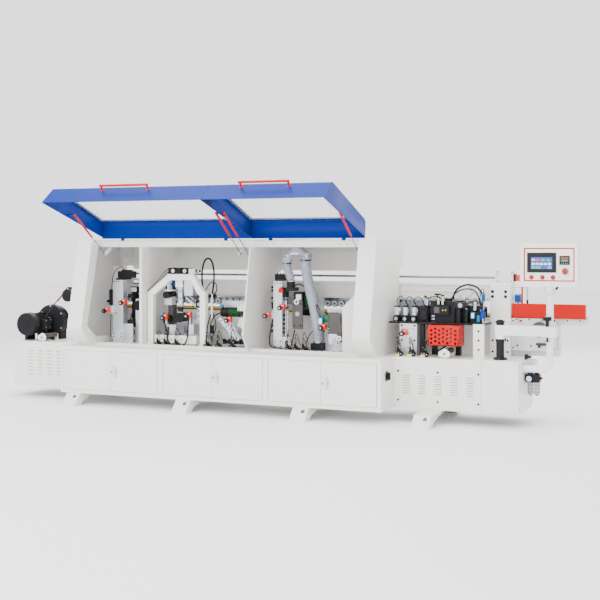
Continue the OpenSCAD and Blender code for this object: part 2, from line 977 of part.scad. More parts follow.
module unit_stands() {
    color(alu)
        union() {
            // scraping and buffing unit
            bx([222, 360, top_z], [600, 620, 577]);
            bx([302, 450, 577], [420, 530, 1200]);
            bx([296, 442, 620], [426, 450, 680]);
            bx([240, 424, 880], [302, 440, 920]);
            bx([286, 424, 860], [302, 500, 940]);
            bx([420, 424, 965], [490, 440, 1005]);
            bx([420, 424, 940], [436, 500, 1020]);
            bx([300, 530, 1130], [422, 600, 1160]);
            bx([300, 530, 640], [422, 560, 700]);
            bx([500, 560, 577], [620, 576, 1010]);
            bx([420, 500, 577], [500, 512, 760]);
        }
    color(white)
        difference() {
            // eight-sided arch of the rounding unit
            xz_plate([[772, 600], [772, 1085], [1004, 1270], [1277, 1270], [1374, 1113],
                [1410, 1090], [1410, 600]], 344, 56);
            xz_plate([[832, 599], [832, 1058], [1026, 1212], [1245, 1212], [1326, 1082],
                [1350, 1062], [1350, 599]], 343, 58);
        }
    color(white) {
        bx([766, 330, top_z], [838, 420, 600]);
        bx([1344, 330, top_z], [1416, 420, 600]);
        // tray below it
        difference() {
            bx([850, 350, 600], [1306, 640, 676]);
            bx([856, 356, 606], [1300, 634, 677]);
        }
        bx([900, 400, top_z], [1260, 600, 600]);
    }
    color(alu) {
        // hanger and pin of the swinging head
        bx([1050, 400, 1140], [1130, 412, 1262]);
        ry(1090, 412, 1190, 10, 90, 32);
        bx([930, 400, 1100], [1000, 560, 1112]);
        bx([960, 400, 1112], [972, 560, 1200]);
        // rail and stand of the fine trimming unit
        difference() {
            bx([1480, 560, top_z], [1760, 580, 1010]);
            ry(1540, 559, 760, 40, 30, 40);
            ry(1680, 559, 680, 30, 30, 40);
        }
        bx([1480, 400, top_z], [1760, 560, 577]);
        xz_plate([[1491, 833], [1520, 862], [1732, 660], [1703, 631]], 440, 24);
        bx([1596, 464, 700], [1640, 560, 760]);
        // end trimming unit: two posts and two guide bars
        bx([2060, 420, top_z], [2500, 700, 577]);
        bx([2078, 450, 577], [2166, 530, 1211]);
        bx([2078, 530, 940], [2166, 700, 1120]);
        bx([2470, 560, 577], [2494, 700, 1120]);
        rx(2160, 620, 1080, 12, 316, 40);
        rx(2160, 620, 980, 12, 316, 40);
        bx([2166, 424, 955], [2200, 440, 995]);
        bx([2166, 424, 940], [2176, 500, 1010]);
        bx([2020, 424, 876], [2078, 440, 916]);
        bx([2062, 440, 860], [2078, 500, 930]);
        // stand and plates of the rough trimming unit
        bx([2560, 400, top_z], [2800, 660, 577]);
        difference() {
            bx([2580, 560, 577], [2780, 576, 960]);
            ry(2720, 559, 680, 34, 30, 40);
        }
        difference() {
            bx([2640, 430, 727], [2758, 446, 925]);
            for (i = [0:5])
                bx([2634, 429, 745 + i * 30], [2652, 447, 757 + i * 30]);
        }
        bx([2680, 446, 780], [2720, 560, 837]);
        bx([2660, 400, 648], [2738, 430, 737]);
        bx([2690, 430, 690], [2710, 560, 720]);
        // block with the first press roller's adjuster
        difference() {
            bx([3310, 480, top_z], [3470, 640, 849]);
            ry(3340, 479, 800, 8, 30, 24);
            ry(3440, 479, 800, 8, 30, 24);
            ry(3340, 479, 610, 10, 30, 24);
            ry(3440, 479, 610, 10, 30, 24);
        }
    }
}

module valve(x, y, z) {
    union() {
        bx([x, y, z], [x + 46, y + 60, z + 44]);
        rz(x + 14, y + 30, z + 44, 9, 24, 24);
        rz(x + 34, y + 30, z + 44, 9, 18, 24);
        bx([x + 4, y - 8, z + 6], [x + 42, y, z + 38]);
    }
}

module unit_heads() {
    color(black) {
        // scraping head and buffing motor
        bx([300, 540, 1217], [460, 640, 1286]);
        bx([330, 460, 1200], [400, 640, 1217]);
        bx([430, 600, 720], [490, 690, 1130]);
        bx([422, 530, 760], [490, 600, 800]);
        bx([422, 530, 1020], [490, 600, 1060]);
        difference() {
            bx([440, 690, 900], [484, 830, 1010]);
            bx([439, 780, 935], [485, 831, 975]);
        }
        difference() {
            union() {
                ry(560, 576, 945, 46, 104);
                ry(560, 500, 945, 48, 60);
            }
            ry(560, 660, 945, 9.05, 30, 32);
        }
        // blocks on the arch
        for (x = [1010, 1090, 1170])
            bx([x, 330, 1270], [x + 64, 420, 1330]);
        // heads hanging inside the arch
        ry(930, 420, 1060, 34, 160);
        bx([880, 480, 960], [960, 560, 1040]);
        bx([1150, 400, 1060], [1240, 520, 1212]);
        bx([1300, 400, 1045], [1440, 520, 1075]);
        bx([1160, 440, 676], [1230, 600, 780]);
        bx([960, 440, 676], [1030, 600, 770]);
        // fine trimming motor, its fan at the left
        rx(1508, 505, 905, 44, 76);
        rx(1584, 505, 905, 38, 128);
        bx([1590, 505, 860], [1700, 560, 950]);
        bx([1600, 580, 840], [1700, 780, 900]);
        rz(1650, 800, 900, 26, 70);
        // end trimming unit
        bx([2040, 560, 1211], [2150, 640, 1273]);
        bx([2090, 460, 1211], [2150, 560, 1225]);
        bx([2180, 440, 1120], [2290, 560, 1152]);
        bx([2166, 470, 1060], [2200, 530, 1130]);
        rz(2236, 500, 1152, 40, 68);
        // rough trimming motor and dust box
        rx(2569, 505, 872, 34, 130);
        bx([2575, 505, 840], [2690, 560, 905]);
        bx([2460, 440, 577], [2560, 560, 640]);
        bx([2600, 576, 840], [2740, 780, 900]);
        rz(2670, 800, 900, 26, 70);
        // valves along the front edge of the cabinets
        for (x = [881, 960, 1081, 1418, 1538, 1687, 2262, 2340, 2420])
            valve(x, 288, top_z);
        for (x = [3306, 3420, 3540])
            valve(x, 366, top_z);
        // cylinders that push the press rollers
        for (x = press_x)
            bx([x - 26, 560, 861], [x + 26, 660, 905]);
        // round post that braces the arm
        rz(4226, tube_y, top_z, 60, 12);
        rz(4226, tube_y, 577, 34, 320);
        rz(4226, tube_y, 897, 26, 10);
    }
}

// position indicator with its knob and stem: front centre x, y, z
module counter(x, y, z, stem) {
    union() {
        bx([x - 25, y, z - 25], [x + 25, y + 36, z + 25]);
        ry(x - 14, y - 26, z - 10, 20, 22, 32);
        ry(x - 14, y - 6, z - 10, 8, 8, 24);
        if (stem > 0)
            ry(x, y + 35, z, 7, stem + 1, 24);
    }
}

module counters() {
    color([0.9, 0.35, 0.12]) {
        counter(262, 384, 900, 4);
        counter(460, 384, 985, 4);
        counter(1195, 394, 872, 20);
        bx([1185, 430, 780], [1205, 460, 850]);
        counter(930, 394, 850, 20);
        bx([920, 430, 770], [940, 460, 840]);
        bx([930, 440, 750], [960, 460, 772]);
        counter(1630, 394, 841, 10);
        bx([1620, 430, 740], [1640, 440, 830]);
        counter(2040, 384, 896, 4);
        counter(2192, 384, 974, 4);
        counter(2600, 394, 800, 130);
        counter(3360, 444, 770, 0);
        // indicator on the end of the shaft between the columns
        difference() {
            bx([4243, 902, 1225], [4289, 958, 1281]);
            rx(4242, 930, 1253, 18, 17.2);
        }
    }
}

// y-shaped dust collector under the hood's roof
module dust_manifold() {
    color(grey)
        union() {
            rz(2290, 500, 1470, 59, 126);
            bar3([2290, 500, 1530], [2195, 500, 1428], 44);
            bar3([2290, 500, 1530], [2388, 500, 1440], 46);
            rz(2195, 500, 1385, 50, 74);
            rz(2388, 500, 1415, 54, 60);
        }
}

// round bar between two points that share their y
module bar3(a, b, r) {
    at(a[0], a[1], a[2])
        rotate([0, atan2(b[0] - a[0], b[2] - a[2]), 0])
            cylinder(r = r, h = norm(b - a));
}

module trim_carriage() {
    color(grey)
        union() {
            difference() {
                bx([2262, 500, 940], [2352, 680, 1112]);
                rx(2261, 620, 1080, 12.05, 92, 40);
                rx(2261, 620, 980, 12.05, 92, 40);
            }
            bx([2256, 484, 766], [2358, 500, 1034]);
            bx([2262, 680, 880], [2352, 728, 990]);
            difference() {
                rx(2256, 770, 940, 44, 100);
                rx(2330, 770, 940, 8.05, 30, 32);
            }
            rx(2240, 770, 940, 40, 17);
            // upright motor beside the plate
            rz(2385, 560, 970, 30, 120);
            bx([2350, 540, 1000], [2380, 580, 1060]);
        }
}

module trim_saw() {
    color(steel)
        union() {
            rx(2335, 770, 940, 8, 38, 32);
            rx(2364, 770, 940, 58, 4, 72);
            rx(2368, 770, 940, 16, 8, 32);
        }
}

module corner_arm() {
    color(grey)
        union() {
            difference() {
                union() {
                    bx([1070, 424, 880], [1110, 444, 1190]);
                    ry(1090, 424, 1190, 26, 60, 48);
                }
                ry(1090, 423, 1190, 10.05, 62, 40);
            }
            ry(1090, 396, 846, 48, 28);
            ry(1090, 424, 846, 42, 150);
            rx(1040, 600, 846, 30, 100);
            bx([1070, 560, 820], [1110, 600, 872]);
            ry(1090, 574, 846, 9, 110, 32);
            ry(1090, 684, 846, 24, 30, 48);
        }
}

module buff_wheel() {
    color([0.85, 0.83, 0.78])
        union() {
            ry(560, 665, 945, 9, 60, 32);
            ry(560, 690, 945, 62, 34, 72);
            ry(560, 724, 945, 18, 6, 32);
        }
}

// ------------------------------------------------------------ hoses, cables

// smooth route through the points p, k steps from each to the next
function route(p, k) =
    let (m = len(p) - 1)
    concat([for (i = [0:m - 1])
        let (
            a = p[max(i - 1, 0)],
            b = p[i],
            c = p[i + 1],
            d = p[min(i + 2, m)]
        )
        for (j = [0:k - 1])
            let (t = j / k)
            b + (c - a) * t / 2 + (2 * a - 5 * b + 4 * c - d) * t * t / 2
                + (3 * b - a - 3 * c + d) * t * t * t / 2], [p[m]]);

// ring of n points around a route point; routes never run along y
function ring(c, t, r, n) =
    let (
        u = unit(cross(t, [0, 1, 0])),
        v = cross(u, unit(t))
    )
    [for (i = [0:n - 1]) c + r * (cos(360 * i / n) * u + sin(360 * i / n) * v)];

module tube(p, k, r, n) {
    q = route(p, k);
    m = len(q);
    pts = [for (i = [0:m - 1])
        for (w = ring(q[i], q[min(i + 1, m - 1)] - q[max(i - 1, 0)], r, n))
            w];
    sides = [for (i = [0:m - 2])
        for (j = [0:n - 1])
            [i * n + j, i * n + (j + 1) % n, (i + 1) * n + (j + 1) % n, (i + 1) * n + j]];
    at(0, 0, 0)
        polyhedron(
            points = pts,
            faces = concat([[for (j = [n - 1:-1:0]) j]], sides,
                [[for (j = [0:n - 1]) (m - 1) * n + j]]));
}

long_route = [[2388, 500, 1415], [2388, 500, 1340], [2425, 500, 1150],
    [2475, 500, 950], [2505, 500, 780], [2510, 500, 700], [2510, 500, 640]];
short_route = [[2195, 500, 1385], [2195, 500, 1345], [2222, 500, 1270], [2236, 500, 1220]];
round_route = [[1322, 460, 1075], [1316, 460, 1160], [1312, 460, 1280], [1335, 460, 1385],
    [1378, 460, 1421], [1420, 460, 1385], [1442, 460, 1280], [1436, 460, 1160],
    [1424, 460, 1075]];
infeed_route = [[3750, 690, 1046], [3750, 690, 1100], [3790, 685, 1160], [3880, 680, 1195],
    [3970, 670, 1170], [4020, 655, 1100], [4020, 650, 1010]];

module dust_hose_long() {
    color(grey)
        tube(long_route, 4, 50, 12);
}

module dust_hose_short() {
    color(grey)
        tube(short_route, 4, 40, 12);
}

module cable_loop_round() {
    color(black)
        tube(round_route, 5, 6, 8);
}

module cable_loop_infeed() {
    color(black)
        tube(infeed_route, 6, 7, 8);
}

feet();
main_cabinet();
infeed_base();
outfeed_base();
hood();
conveyor_track();
conveyor_chain();
pressure_beam();
pressure_rollers();
lift_columns();
sync_shaft();
door_1();
door_2();
door_3();
door_4();
door_5();
door_6();
latch_1();
latch_2();
latch_3();
cover_left();
cover_right();
cover_handle_left();
cover_handle_right();
strut_tubes_left();
strut_rods_left();
strut_tubes_right();
strut_rods_right();
drive_motor();
outfeed_roller();
infeed_roller();
glue_unit();
press_roller_1();
press_roller_2();
press_roller_3();
strip_basket();
strip_disc();
fence();
support_arm();
clamp_knob();
air_unit();
panel_tube();
control_panel();
stop_button();
key_1();
key_2();
key_3();
main_switch();
unit_stands();
unit_heads();
counters();
dust_manifold();
trim_carriage();
trim_saw();
corner_arm();
buff_wheel();
dust_hose_long();
dust_hose_short();
cable_loop_round();
cable_loop_infeed();
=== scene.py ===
"""Looks of an edge banding machine, built on its CAD frame.

Lengths are millimetres in the machine's drawing frame: x from the main cabinet's left end, y back from its
front and z from the floor. at() turns them into the row frame's metres.
"""

import json
import math
from itertools import product

import bmesh
import bpy
from mathutils import Matrix, Vector


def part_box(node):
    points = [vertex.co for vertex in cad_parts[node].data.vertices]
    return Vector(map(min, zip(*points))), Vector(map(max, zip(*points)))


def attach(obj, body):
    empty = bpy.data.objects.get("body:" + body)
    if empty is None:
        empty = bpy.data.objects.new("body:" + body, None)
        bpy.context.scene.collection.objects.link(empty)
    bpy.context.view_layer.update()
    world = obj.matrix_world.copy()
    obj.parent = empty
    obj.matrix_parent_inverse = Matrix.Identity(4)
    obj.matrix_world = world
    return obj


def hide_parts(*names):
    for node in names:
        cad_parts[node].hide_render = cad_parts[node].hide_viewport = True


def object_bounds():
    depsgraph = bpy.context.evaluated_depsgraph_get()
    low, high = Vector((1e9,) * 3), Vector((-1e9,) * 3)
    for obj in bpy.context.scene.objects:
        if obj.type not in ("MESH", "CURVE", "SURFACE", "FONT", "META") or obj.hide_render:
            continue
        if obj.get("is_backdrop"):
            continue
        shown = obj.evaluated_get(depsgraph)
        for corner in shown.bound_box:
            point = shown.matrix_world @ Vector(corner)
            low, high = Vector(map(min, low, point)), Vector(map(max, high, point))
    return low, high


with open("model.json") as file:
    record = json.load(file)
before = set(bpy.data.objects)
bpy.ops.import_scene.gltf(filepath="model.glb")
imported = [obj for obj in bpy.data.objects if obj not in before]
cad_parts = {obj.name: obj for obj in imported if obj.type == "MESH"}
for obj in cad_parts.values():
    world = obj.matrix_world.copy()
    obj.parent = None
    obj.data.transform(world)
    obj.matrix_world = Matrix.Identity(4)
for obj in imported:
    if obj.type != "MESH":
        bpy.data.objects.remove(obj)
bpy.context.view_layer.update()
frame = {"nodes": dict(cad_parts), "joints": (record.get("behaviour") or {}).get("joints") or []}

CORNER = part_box("main_cabinet")[0]
MM = 0.001
CAB_L = (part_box("main_cabinet")[1].x - CORNER.x) / MM
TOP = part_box("main_cabinet")[1].z / MM
FRONT, BACK, UP, DOWN = (0, -1, 0), (0, 1, 0), (0, 0, 1), (0, 0, -1)
LEFT, RIGHT = (-1, 0, 0), (1, 0, 0)


def at(p):
    """A point of the drawing frame, in metres in the row frame."""
    return Vector((CORNER.x + p[0] * MM, CORNER.y + p[1] * MM, p[2] * MM))


def span(node):
    """Lowest and highest corner of a CAD node, in the drawing frame's millimetres."""
    return [[(v.x - CORNER.x) / MM, (v.y - CORNER.y) / MM, v.z / MM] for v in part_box(node)]


def middle(node):
    """Middle of a CAD node's box."""
    return [(a + b) / 2 for a, b in zip(*span(node))]


def circle(r, count, first=0):
    """Points at equal steps round a circle about 0, 0, from the angle first in degrees."""
    turns = [math.radians(first + 360 * i / count) for i in range(count)]
    return [(r * math.cos(a), r * math.sin(a)) for a in turns]


def spokes(axis, count, first=0):
    """Unit vectors at equal steps round an axis."""
    side = Vector(axis).orthogonal().normalized()
    up = Vector(axis).cross(side)
    return [side * c + up * s for c, s in circle(1, count, first)]


def listed(v):
    """A lone number as a list of one, so that a place may be one number or several."""
    return [v] if isinstance(v, (int, float)) else v


# ---------------------------------------------------------------- materials


def srgb(r, g, b):
    """A display colour of 0 to 255 as linear light."""
    parts = [c / 255 for c in (r, g, b)]
    return [c / 12.92 if c <= 0.04045 else ((c + 0.055) / 1.055) ** 2.4 for c in parts] + [1]


def shade(colour, k):
    """The colour k times as bright."""
    return [c * k for c in colour[:3]] + [1]


def surface(name, rgb, rough=(0.3, 0.45), tone=0.93, grain=420, bump=0.06, stretch=(1, 1, 1),
            metal=0.0, coat=0.0, cloud=9, alpha=1.0, spec=0.5):
    """A finish with drifting tone and gloss and a fine grain in its surface."""
    m = bpy.data.materials.new(name)
    m.use_nodes = True
    tree = m.node_tree
    node, link = tree.nodes.new, tree.links.new
    shader = tree.nodes["Principled BSDF"]
    colour = srgb(*rgb)
    place = node("ShaderNodeTexCoord")
    scale = node("ShaderNodeMapping")
    scale.inputs["Scale"].default_value = stretch
    link(place.outputs["Object"], scale.inputs["Vector"])

    def noise(size, detail):
        texture = node("ShaderNodeTexNoise")
        texture.inputs["Scale"].default_value = size
        texture.inputs["Detail"].default_value = detail
        link(scale.outputs["Vector"], texture.inputs["Vector"])
        return texture.outputs["Fac"]

    drift = noise(cloud, 5)
    ramp = node("ShaderNodeValToRGB")
    ramp.color_ramp.elements[0].position = 0.3
    ramp.color_ramp.elements[1].position = 0.7
    ramp.color_ramp.elements[0].color = shade(colour, tone)
    ramp.color_ramp.elements[1].color = colour
    link(drift, ramp.inputs["Fac"])
    link(ramp.outputs["Color"], shader.inputs["Base Color"])
    gloss = node("ShaderNodeMapRange")
    gloss.inputs["To Min"].default_value = rough[0]
    gloss.inputs["To Max"].default_value = rough[1]
    link(drift, gloss.inputs["Value"])
    link(gloss.outputs["Result"], shader.inputs["Roughness"])
    relief = node("ShaderNodeBump")
    relief.inputs["Strength"].default_value = bump
    relief.inputs["Distance"].default_value = 0.001
    link(noise(grain, 3), relief.inputs["Height"])
    link(relief.outputs["Normal"], shader.inputs["Normal"])
    for socket, value in (("Metallic", metal), ("Specular IOR Level", spec), ("Coat Weight", coat),
                          ("Coat Roughness", 0.12), ("Alpha", alpha)):
        shader.inputs[socket].default_value = value
    return m


WHITE = surface("white_enamel", (232, 231, 228), (0.28, 0.4), 0.975, 520, 0.05, coat=0.15)
# A darker copy of the white enamel: painted shade for the hood's inside, the track and beam under it and a
# few small white parts.
SHADED_WHITE = surface("white_enamel_painted_shade", (226, 224, 219), (0.38, 0.5), 0.965, 480, 0.05)
BLUE = surface("blue_enamel", (2, 40, 128), (0.42, 0.52), 0.9, 500, 0.04, coat=0.03, spec=0.1)
PANE = surface("clear_pane", (236, 243, 250), (0.05, 0.09), 0.98, 60, 0.01, alpha=0.14)
RED = surface("red_enamel", (188, 6, 6), (0.34, 0.46), 0.9, 500, 0.05, coat=0.15, spec=0.15)
FENCE_RED = surface("fence_red", (190, 10, 10), (0.45, 0.58), 0.92, 620, 0.1, spec=0.1)
BLACK = surface("black_plastic", (16, 17, 19), (0.36, 0.52), 0.75, 700, 0.1, spec=0.25)
IRON = surface("black_iron", (26, 27, 30), (0.38, 0.6), 0.7, 260, 0.22, metal=0.35, spec=0.3)
RUBBER = surface("grey_rubber", (124, 133, 146), (0.6, 0.75), 0.85, 900, 0.12)
RING = surface("pale_ring", (206, 214, 220), (0.3, 0.45), 0.9, 400, 0.06, metal=0.2)
PAD = surface("black_rubber", (30, 31, 34), (0.7, 0.85), 0.8, 900, 0.2, spec=0.2)
YELLOW = surface("yellow_strip", (236, 178, 22), (0.4, 0.55), 0.85, 500, 0.08, spec=0.2)
STEEL = surface("ground_steel", (176, 180, 186), (0.2, 0.36), 0.86, 240, 0.06, (1, 14, 14), metal=1.0)
CHROME = surface("chrome", (214, 217, 220), (0.06, 0.14), 0.94, 120, 0.02, metal=1.0)
ALU = surface("milled_aluminium", (212, 214, 219), (0.3, 0.44), 0.92, 300, 0.06, (12, 12, 1), metal=0.75)
BRASS = surface("brass", (196, 156, 76), (0.22, 0.36), 0.85, 300, 0.06, metal=1.0)
ORANGE = surface("orange_plastic", (232, 52, 8), (0.3, 0.42), 0.92, 500, 0.05, spec=0.15)
GREEN = surface("green_enamel", (8, 66, 28), (0.3, 0.45), 0.82, 400, 0.1, spec=0.2)
PALE_GREEN = surface("pale_green_enamel", (44, 130, 78), (0.32, 0.46), 0.86, 400, 0.1, spec=0.2)
CYAN = surface("cyan_plastic", (20, 122, 168), (0.32, 0.45), 0.9, 500, 0.06, spec=0.2)
COBALT = surface("cobalt_plastic", (4, 52, 150), (0.3, 0.42), 0.88, 500, 0.06, spec=0.2)
LABEL = surface("cream_tag", (238, 214, 128), (0.5, 0.6), 0.94, 500, 0.04)
DARK = surface("dark_plate", (78, 74, 74), (0.42, 0.6), 0.8, 260, 0.16, metal=0.3)
BROWN = surface("brown_bar", (70, 54, 50), (0.5, 0.65), 0.8, 320, 0.18)
HOSE = surface("hose_grey", (150, 154, 168), (0.26, 0.38), 0.82, 300, 0.05, coat=0.2)
ROD_STEEL = surface("strut_rod", (120, 126, 134), (0.22, 0.34), 0.86, 240, 0.04, metal=0.8)
GLASS = surface("smoky_bowl", (150, 158, 166), (0.08, 0.16), 0.9, 200, 0.02, alpha=0.55)
DIAL = surface("dial_white", (240, 240, 236), (0.35, 0.45), 0.97, 500, 0.02)
SCREEN = surface("screen_dark", (14, 18, 26), (0.08, 0.16), 0.85, 100, 0.01, coat=0.6, spec=0.2)
CLOTH = surface("buff_cloth", (222, 214, 192), (0.8, 0.95), 0.8, 900, 0.4)
FLOOR = surface("studio_floor", (244, 244, 244), (0.75, 0.85), 0.99, 40, 0.01)


def glow(name, rgb, strength):
    """A lit field on the control panel's displays."""
    m = surface(name, rgb, (0.25, 0.35), 0.85, 200, 0.01, cloud=60)
    shader = m.node_tree.nodes["Principled BSDF"]
    shader.inputs["Emission Color"].default_value = srgb(*rgb)
    shader.inputs["Emission Strength"].default_value = strength
    return m


TILE_BLUE = glow("tile_blue", (12, 70, 160), 0.35)
TILE_CYAN = glow("tile_cyan", (60, 170, 200), 0.5)
TILE_YELLOW = glow("tile_yellow", (230, 200, 40), 0.5)
TILE_RED = glow("tile_red", (214, 50, 40), 0.5)
TILE_GREEN = glow("tile_green", (60, 190, 80), 0.5)
TILE_PALE = glow("tile_pale", (226, 222, 170), 0.5)
GLOWING_RED = glow("glowing_red", (240, 50, 30), 1.2)
DIGIT_GREEN = glow("digit_green", (60, 220, 90), 1.0)

# ---------------------------------------------------------------- shape kit


class Kit:
    """Collects solid shapes in drawing millimetres and makes them one piece that rides a body."""

    def __init__(self, name, body, bevel=0.8):
        self.name, self.body, self.bevel = name, body, bevel
        self.bm = bmesh.new()
        self.mats = []

    def index(self, mat):
        """The slot of a finish, made when it is new."""
        if mat not in self.mats:
            self.mats.append(mat)
        return self.mats.index(mat)

    def faces(self, made, mat):
        """Gives the faces round the new corners their finish."""
        i = self.index(mat)
        for f in {f for v in made for f in v.link_faces}:
            f.material_index = i
            f.smooth = True

    def box(self, a, b, mat, tilt=None):
        """Box between corners a and b; tilt = (axis letter, degrees) turns it about its middle."""
        mid = (Vector(a) + Vector(b)) / 2
        size = [abs(q - p) for p, q in zip(a, b)]
        turn = Matrix.Rotation(math.radians(tilt[1]), 4, tilt[0]) if tilt else Matrix.Identity(4)
        m = Matrix.Translation(mid) @ turn @ Matrix.Diagonal((*size, 1))
        made = bmesh.ops.create_cube(self.bm, size=1, matrix=m)["verts"]
        self.faces(made, mat)

    def rod(self, p, q, r, mat, n=24):
        """Round bar from p to q."""
        p, q = Vector(p), Vector(q)
        d = q - p
        m = Matrix.Translation((p + q) / 2) @ d.to_track_quat("Z", "Y").to_matrix().to_4x4()
        made = bmesh.ops.create_cone(
            self.bm, cap_ends=True, segments=n, radius1=r, radius2=r, depth=d.length, matrix=m
        )
        self.faces(made["verts"], mat)

    def rod_x(self, p, x, *form):
        """Round bar along x, from p to where x ends; rod_y and rod_z are the same along y and z."""
        self.rod(p, (x, p[1], p[2]), *form)

    def rod_y(self, p, y, *form):
        self.rod(p, (p[0], y, p[2]), *form)

    def rod_z(self, p, z, *form):
        self.rod(p, (p[0], p[1], z), *form)

    def lathe(self, p, axis, profile, mat, n=32):
        """Solid of revolution: profile is a closed list of (distance along the axis, radius)."""
        turn = Vector(axis).to_track_quat("Z", "Y").to_matrix()
        rings = [
            [self.bm.verts.new(Vector(p) + turn @ Vector((r * c, r * s, h))) for h, r in profile]
            for c, s in circle(1, n)
        ]
        k, i = len(profile), self.index(mat)
        for s in range(n):
            for j in range(k):
                a, b = rings[s], rings[(s + 1) % n]
                f = self.bm.faces.new([a[j], b[j], b[(j + 1) % k], a[(j + 1) % k]])
                f.material_index, f.smooth = i, True

    def ring(self, p, axis, outer, inner, thick, mat, n=32):
        """Flat ring that stands on p."""
        self.lathe(p, axis, [(0, inner), (thick, inner), (thick, outer), (0, outer)], mat, n)

    def plate(self, outline, plane, low, high, mat):
        """Outline in plane "xz" or "yz", thick from low to high along the third axis."""
        place = {"xz": lambda u, v, w: (u, w, v), "yz": lambda u, v, w: (w, u, v)}[plane]
        lower = [self.bm.verts.new(place(u, v, low)) for u, v in outline]
        upper = [self.bm.verts.new(place(u, v, high)) for u, v in outline]
        i, k = self.index(mat), len(outline)
        loops = [lower[::-1], upper]
        loops += [[lower[j], lower[(j + 1) % k], upper[(j + 1) % k], upper[j]] for j in range(k)]
        made = [self.bm.faces.new(loop) for loop in loops]
        for f in made:
            f.material_index, f.smooth = i, True
        bmesh.ops.recalc_face_normals(self.bm, faces=made)

    def hose(self, points, r, mat=BLACK, n=12, steps=8, wave=0.0, pitch=12.0):
        """Tube along a smooth route; wave is the height of its ribs, one every pitch."""
        path = smooth_route(points, steps)
        if wave:
            path = even_steps(path, pitch / 4)
        i = self.index(mat)
        side = None
        rings = []
        for j, c in enumerate(path):
            t = (path[min(j + 1, len(path) - 1)] - path[max(j - 1, 0)]).normalized()
            if side is None:
                side = t.orthogonal().normalized()
            side = (side - t * side.dot(t)).normalized()
            up = t.cross(side)
            grown = r + (wave if j % 4 in (1, 2) else 0)
            rings.append([self.bm.verts.new(c + side * u + up * v) for u, v in circle(grown, n)])
        for a, b in zip(rings, rings[1:]):
            for k in range(n):
                f = self.bm.faces.new([a[k], a[(k + 1) % n], b[(k + 1) % n], b[k]])
                f.material_index, f.smooth = i, True
        for loop in (rings[0][::-1], rings[-1]):
            f = self.bm.faces.new(loop)
            f.material_index = i

    def screw(self, p, axis, mat=BLACK, r=7.0, h=5.0):
        """Socket-head screw standing on p, its socket sunk in."""
        self.lathe(p, axis, [(0, 0.2), (0, r), (h * 0.8, r), (h, r * 0.86), (h, r * 0.5),
                             (h * 0.4, r * 0.5), (h * 0.4, 0.2)], mat, 12)

    def screws(self, xs, ys, zs, *form):
        """Equal screws at every crossing of the given places."""
        for p in product(listed(xs), listed(ys), listed(zs)):
            self.screw(p, *form)

    def hexagon(self, p, axis, r, h, mat):
        """Hexagon bolt head with its washer."""
        p, axis = Vector(p), Vector(axis)
        self.rod(p, p + axis * (h * 0.25), r * 1.35, mat, 20)
        self.rod(p + axis * (h * 0.25), p + axis * h, r, mat, 6)

    def hexagons(self, xs, ys, zs, *form):
        """Equal bolt heads at every crossing of the given places."""
        for p in product(listed(xs), listed(ys), listed(zs)):
            self.hexagon(p, *form)

    def done(self, *stands_for):
        """Makes the piece, which rides its body and replaces the CAD nodes it stands for."""
        mesh = bpy.data.meshes.new(self.name)
        self.bm.transform(Matrix.Translation(at((0, 0, 0))) @ Matrix.Scale(MM, 4))
        bmesh.ops.recalc_face_normals(self.bm, faces=self.bm.faces)
        self.bm.to_mesh(mesh)
        self.bm.free()
        for m in self.mats:
            mesh.materials.append(m)
        o = bpy.data.objects.new(self.name, mesh)
        bpy.context.scene.collection.objects.link(o)
        soften(o, self.bevel)
        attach(o, self.body)
        if stands_for:
            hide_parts(*stands_for)


def soften(o, width, weld=False):
    """Rounds the sharp edges of a piece and evens out its shading."""
    if weld:
        o.modifiers.new("weld", "WELD").merge_threshold = 0.00002
    if width:
        bevel = o.modifiers.new("edges", "BEVEL")
        bevel.width = width * MM
        bevel.segments = 2
        bevel.limit_method = "ANGLE"
        bevel.angle_limit = math.radians(38)
    normals = o.modifiers.new("normals", "WEIGHTED_NORMAL")
    normals.keep_sharp = False
    normals.weight = 60


def smooth_route(points, steps):
    """The points of a curve that passes through every given point."""
    p = [Vector(q) for q in points]
    out = []
    for i in range(len(p) - 1):
        a, b, c, d = p[max(i - 1, 0)], p[i], p[i + 1], p[min(i + 2, len(p) - 1)]
        for j in range(steps):
            t = j / steps
            out.append(b + (c - a) * (t / 2) + (2 * a - 5 * b + 4 * c - d) * (t * t / 2)
                       + (3 * b - a - 3 * c + d) * (t ** 3 / 2))
    return out + [p[-1]]


def even_steps(path, step):
    """The same path with its points a fixed step apart."""
    out, left = [path[0]], step
    for a, b in zip(path, path[1:]):
        d = (b - a).length
        while left <= d:
            out.append(a + (b - a) * (left / d))
            left += step
        left -= d
    return out


# ---------------------------------------------------------------- finishes of the CAD nodes

HINGE = next(j for j in frame["joints"] if j["name"] == "cover_left_hinge")
HINGE_Y = (HINGE["pos_m"][1] - CORNER.y) / MM
HINGE_Z = HINGE["pos_m"][2] / MM
OPEN_ANGLE = math.radians(HINGE["range_deg"][1])
FOLD_TOP, FOLD_KNEE = (215, 1600), (32, 736)


def opened(y, z):
    """Where a point of the closed cover's side outline lies with the cover propped open."""
    dy, dz = y - HINGE_Y, z - HINGE_Z
    c, s = math.cos(OPEN_ANGLE), math.sin(OPEN_ANGLE)
    return Vector((HINGE_Y + dy * c + dz * s, HINGE_Z - dy * s + dz * c))


KNEE = opened(*FOLD_KNEE)
PANEL_ALONG = (opened(*FOLD_TOP) - KNEE).normalized()
PANEL_IN = Vector((PANEL_ALONG.y, -PANEL_ALONG.x))
WINDOW = (52, 808)


def in_box(c, low, high):
    return all(low[k] <= c[k] <= high[k] for k in range(3))


def pane_rule(c):
    d = Vector((c[1], c[2])) - KNEE
    depth, along = d.dot(PANEL_IN), d.dot(PANEL_ALONG)
    if 3.9 < depth < 7.2 and WINDOW[0] - 14 < along < WINDOW[1] + 15:
        return PANE
    return BLUE


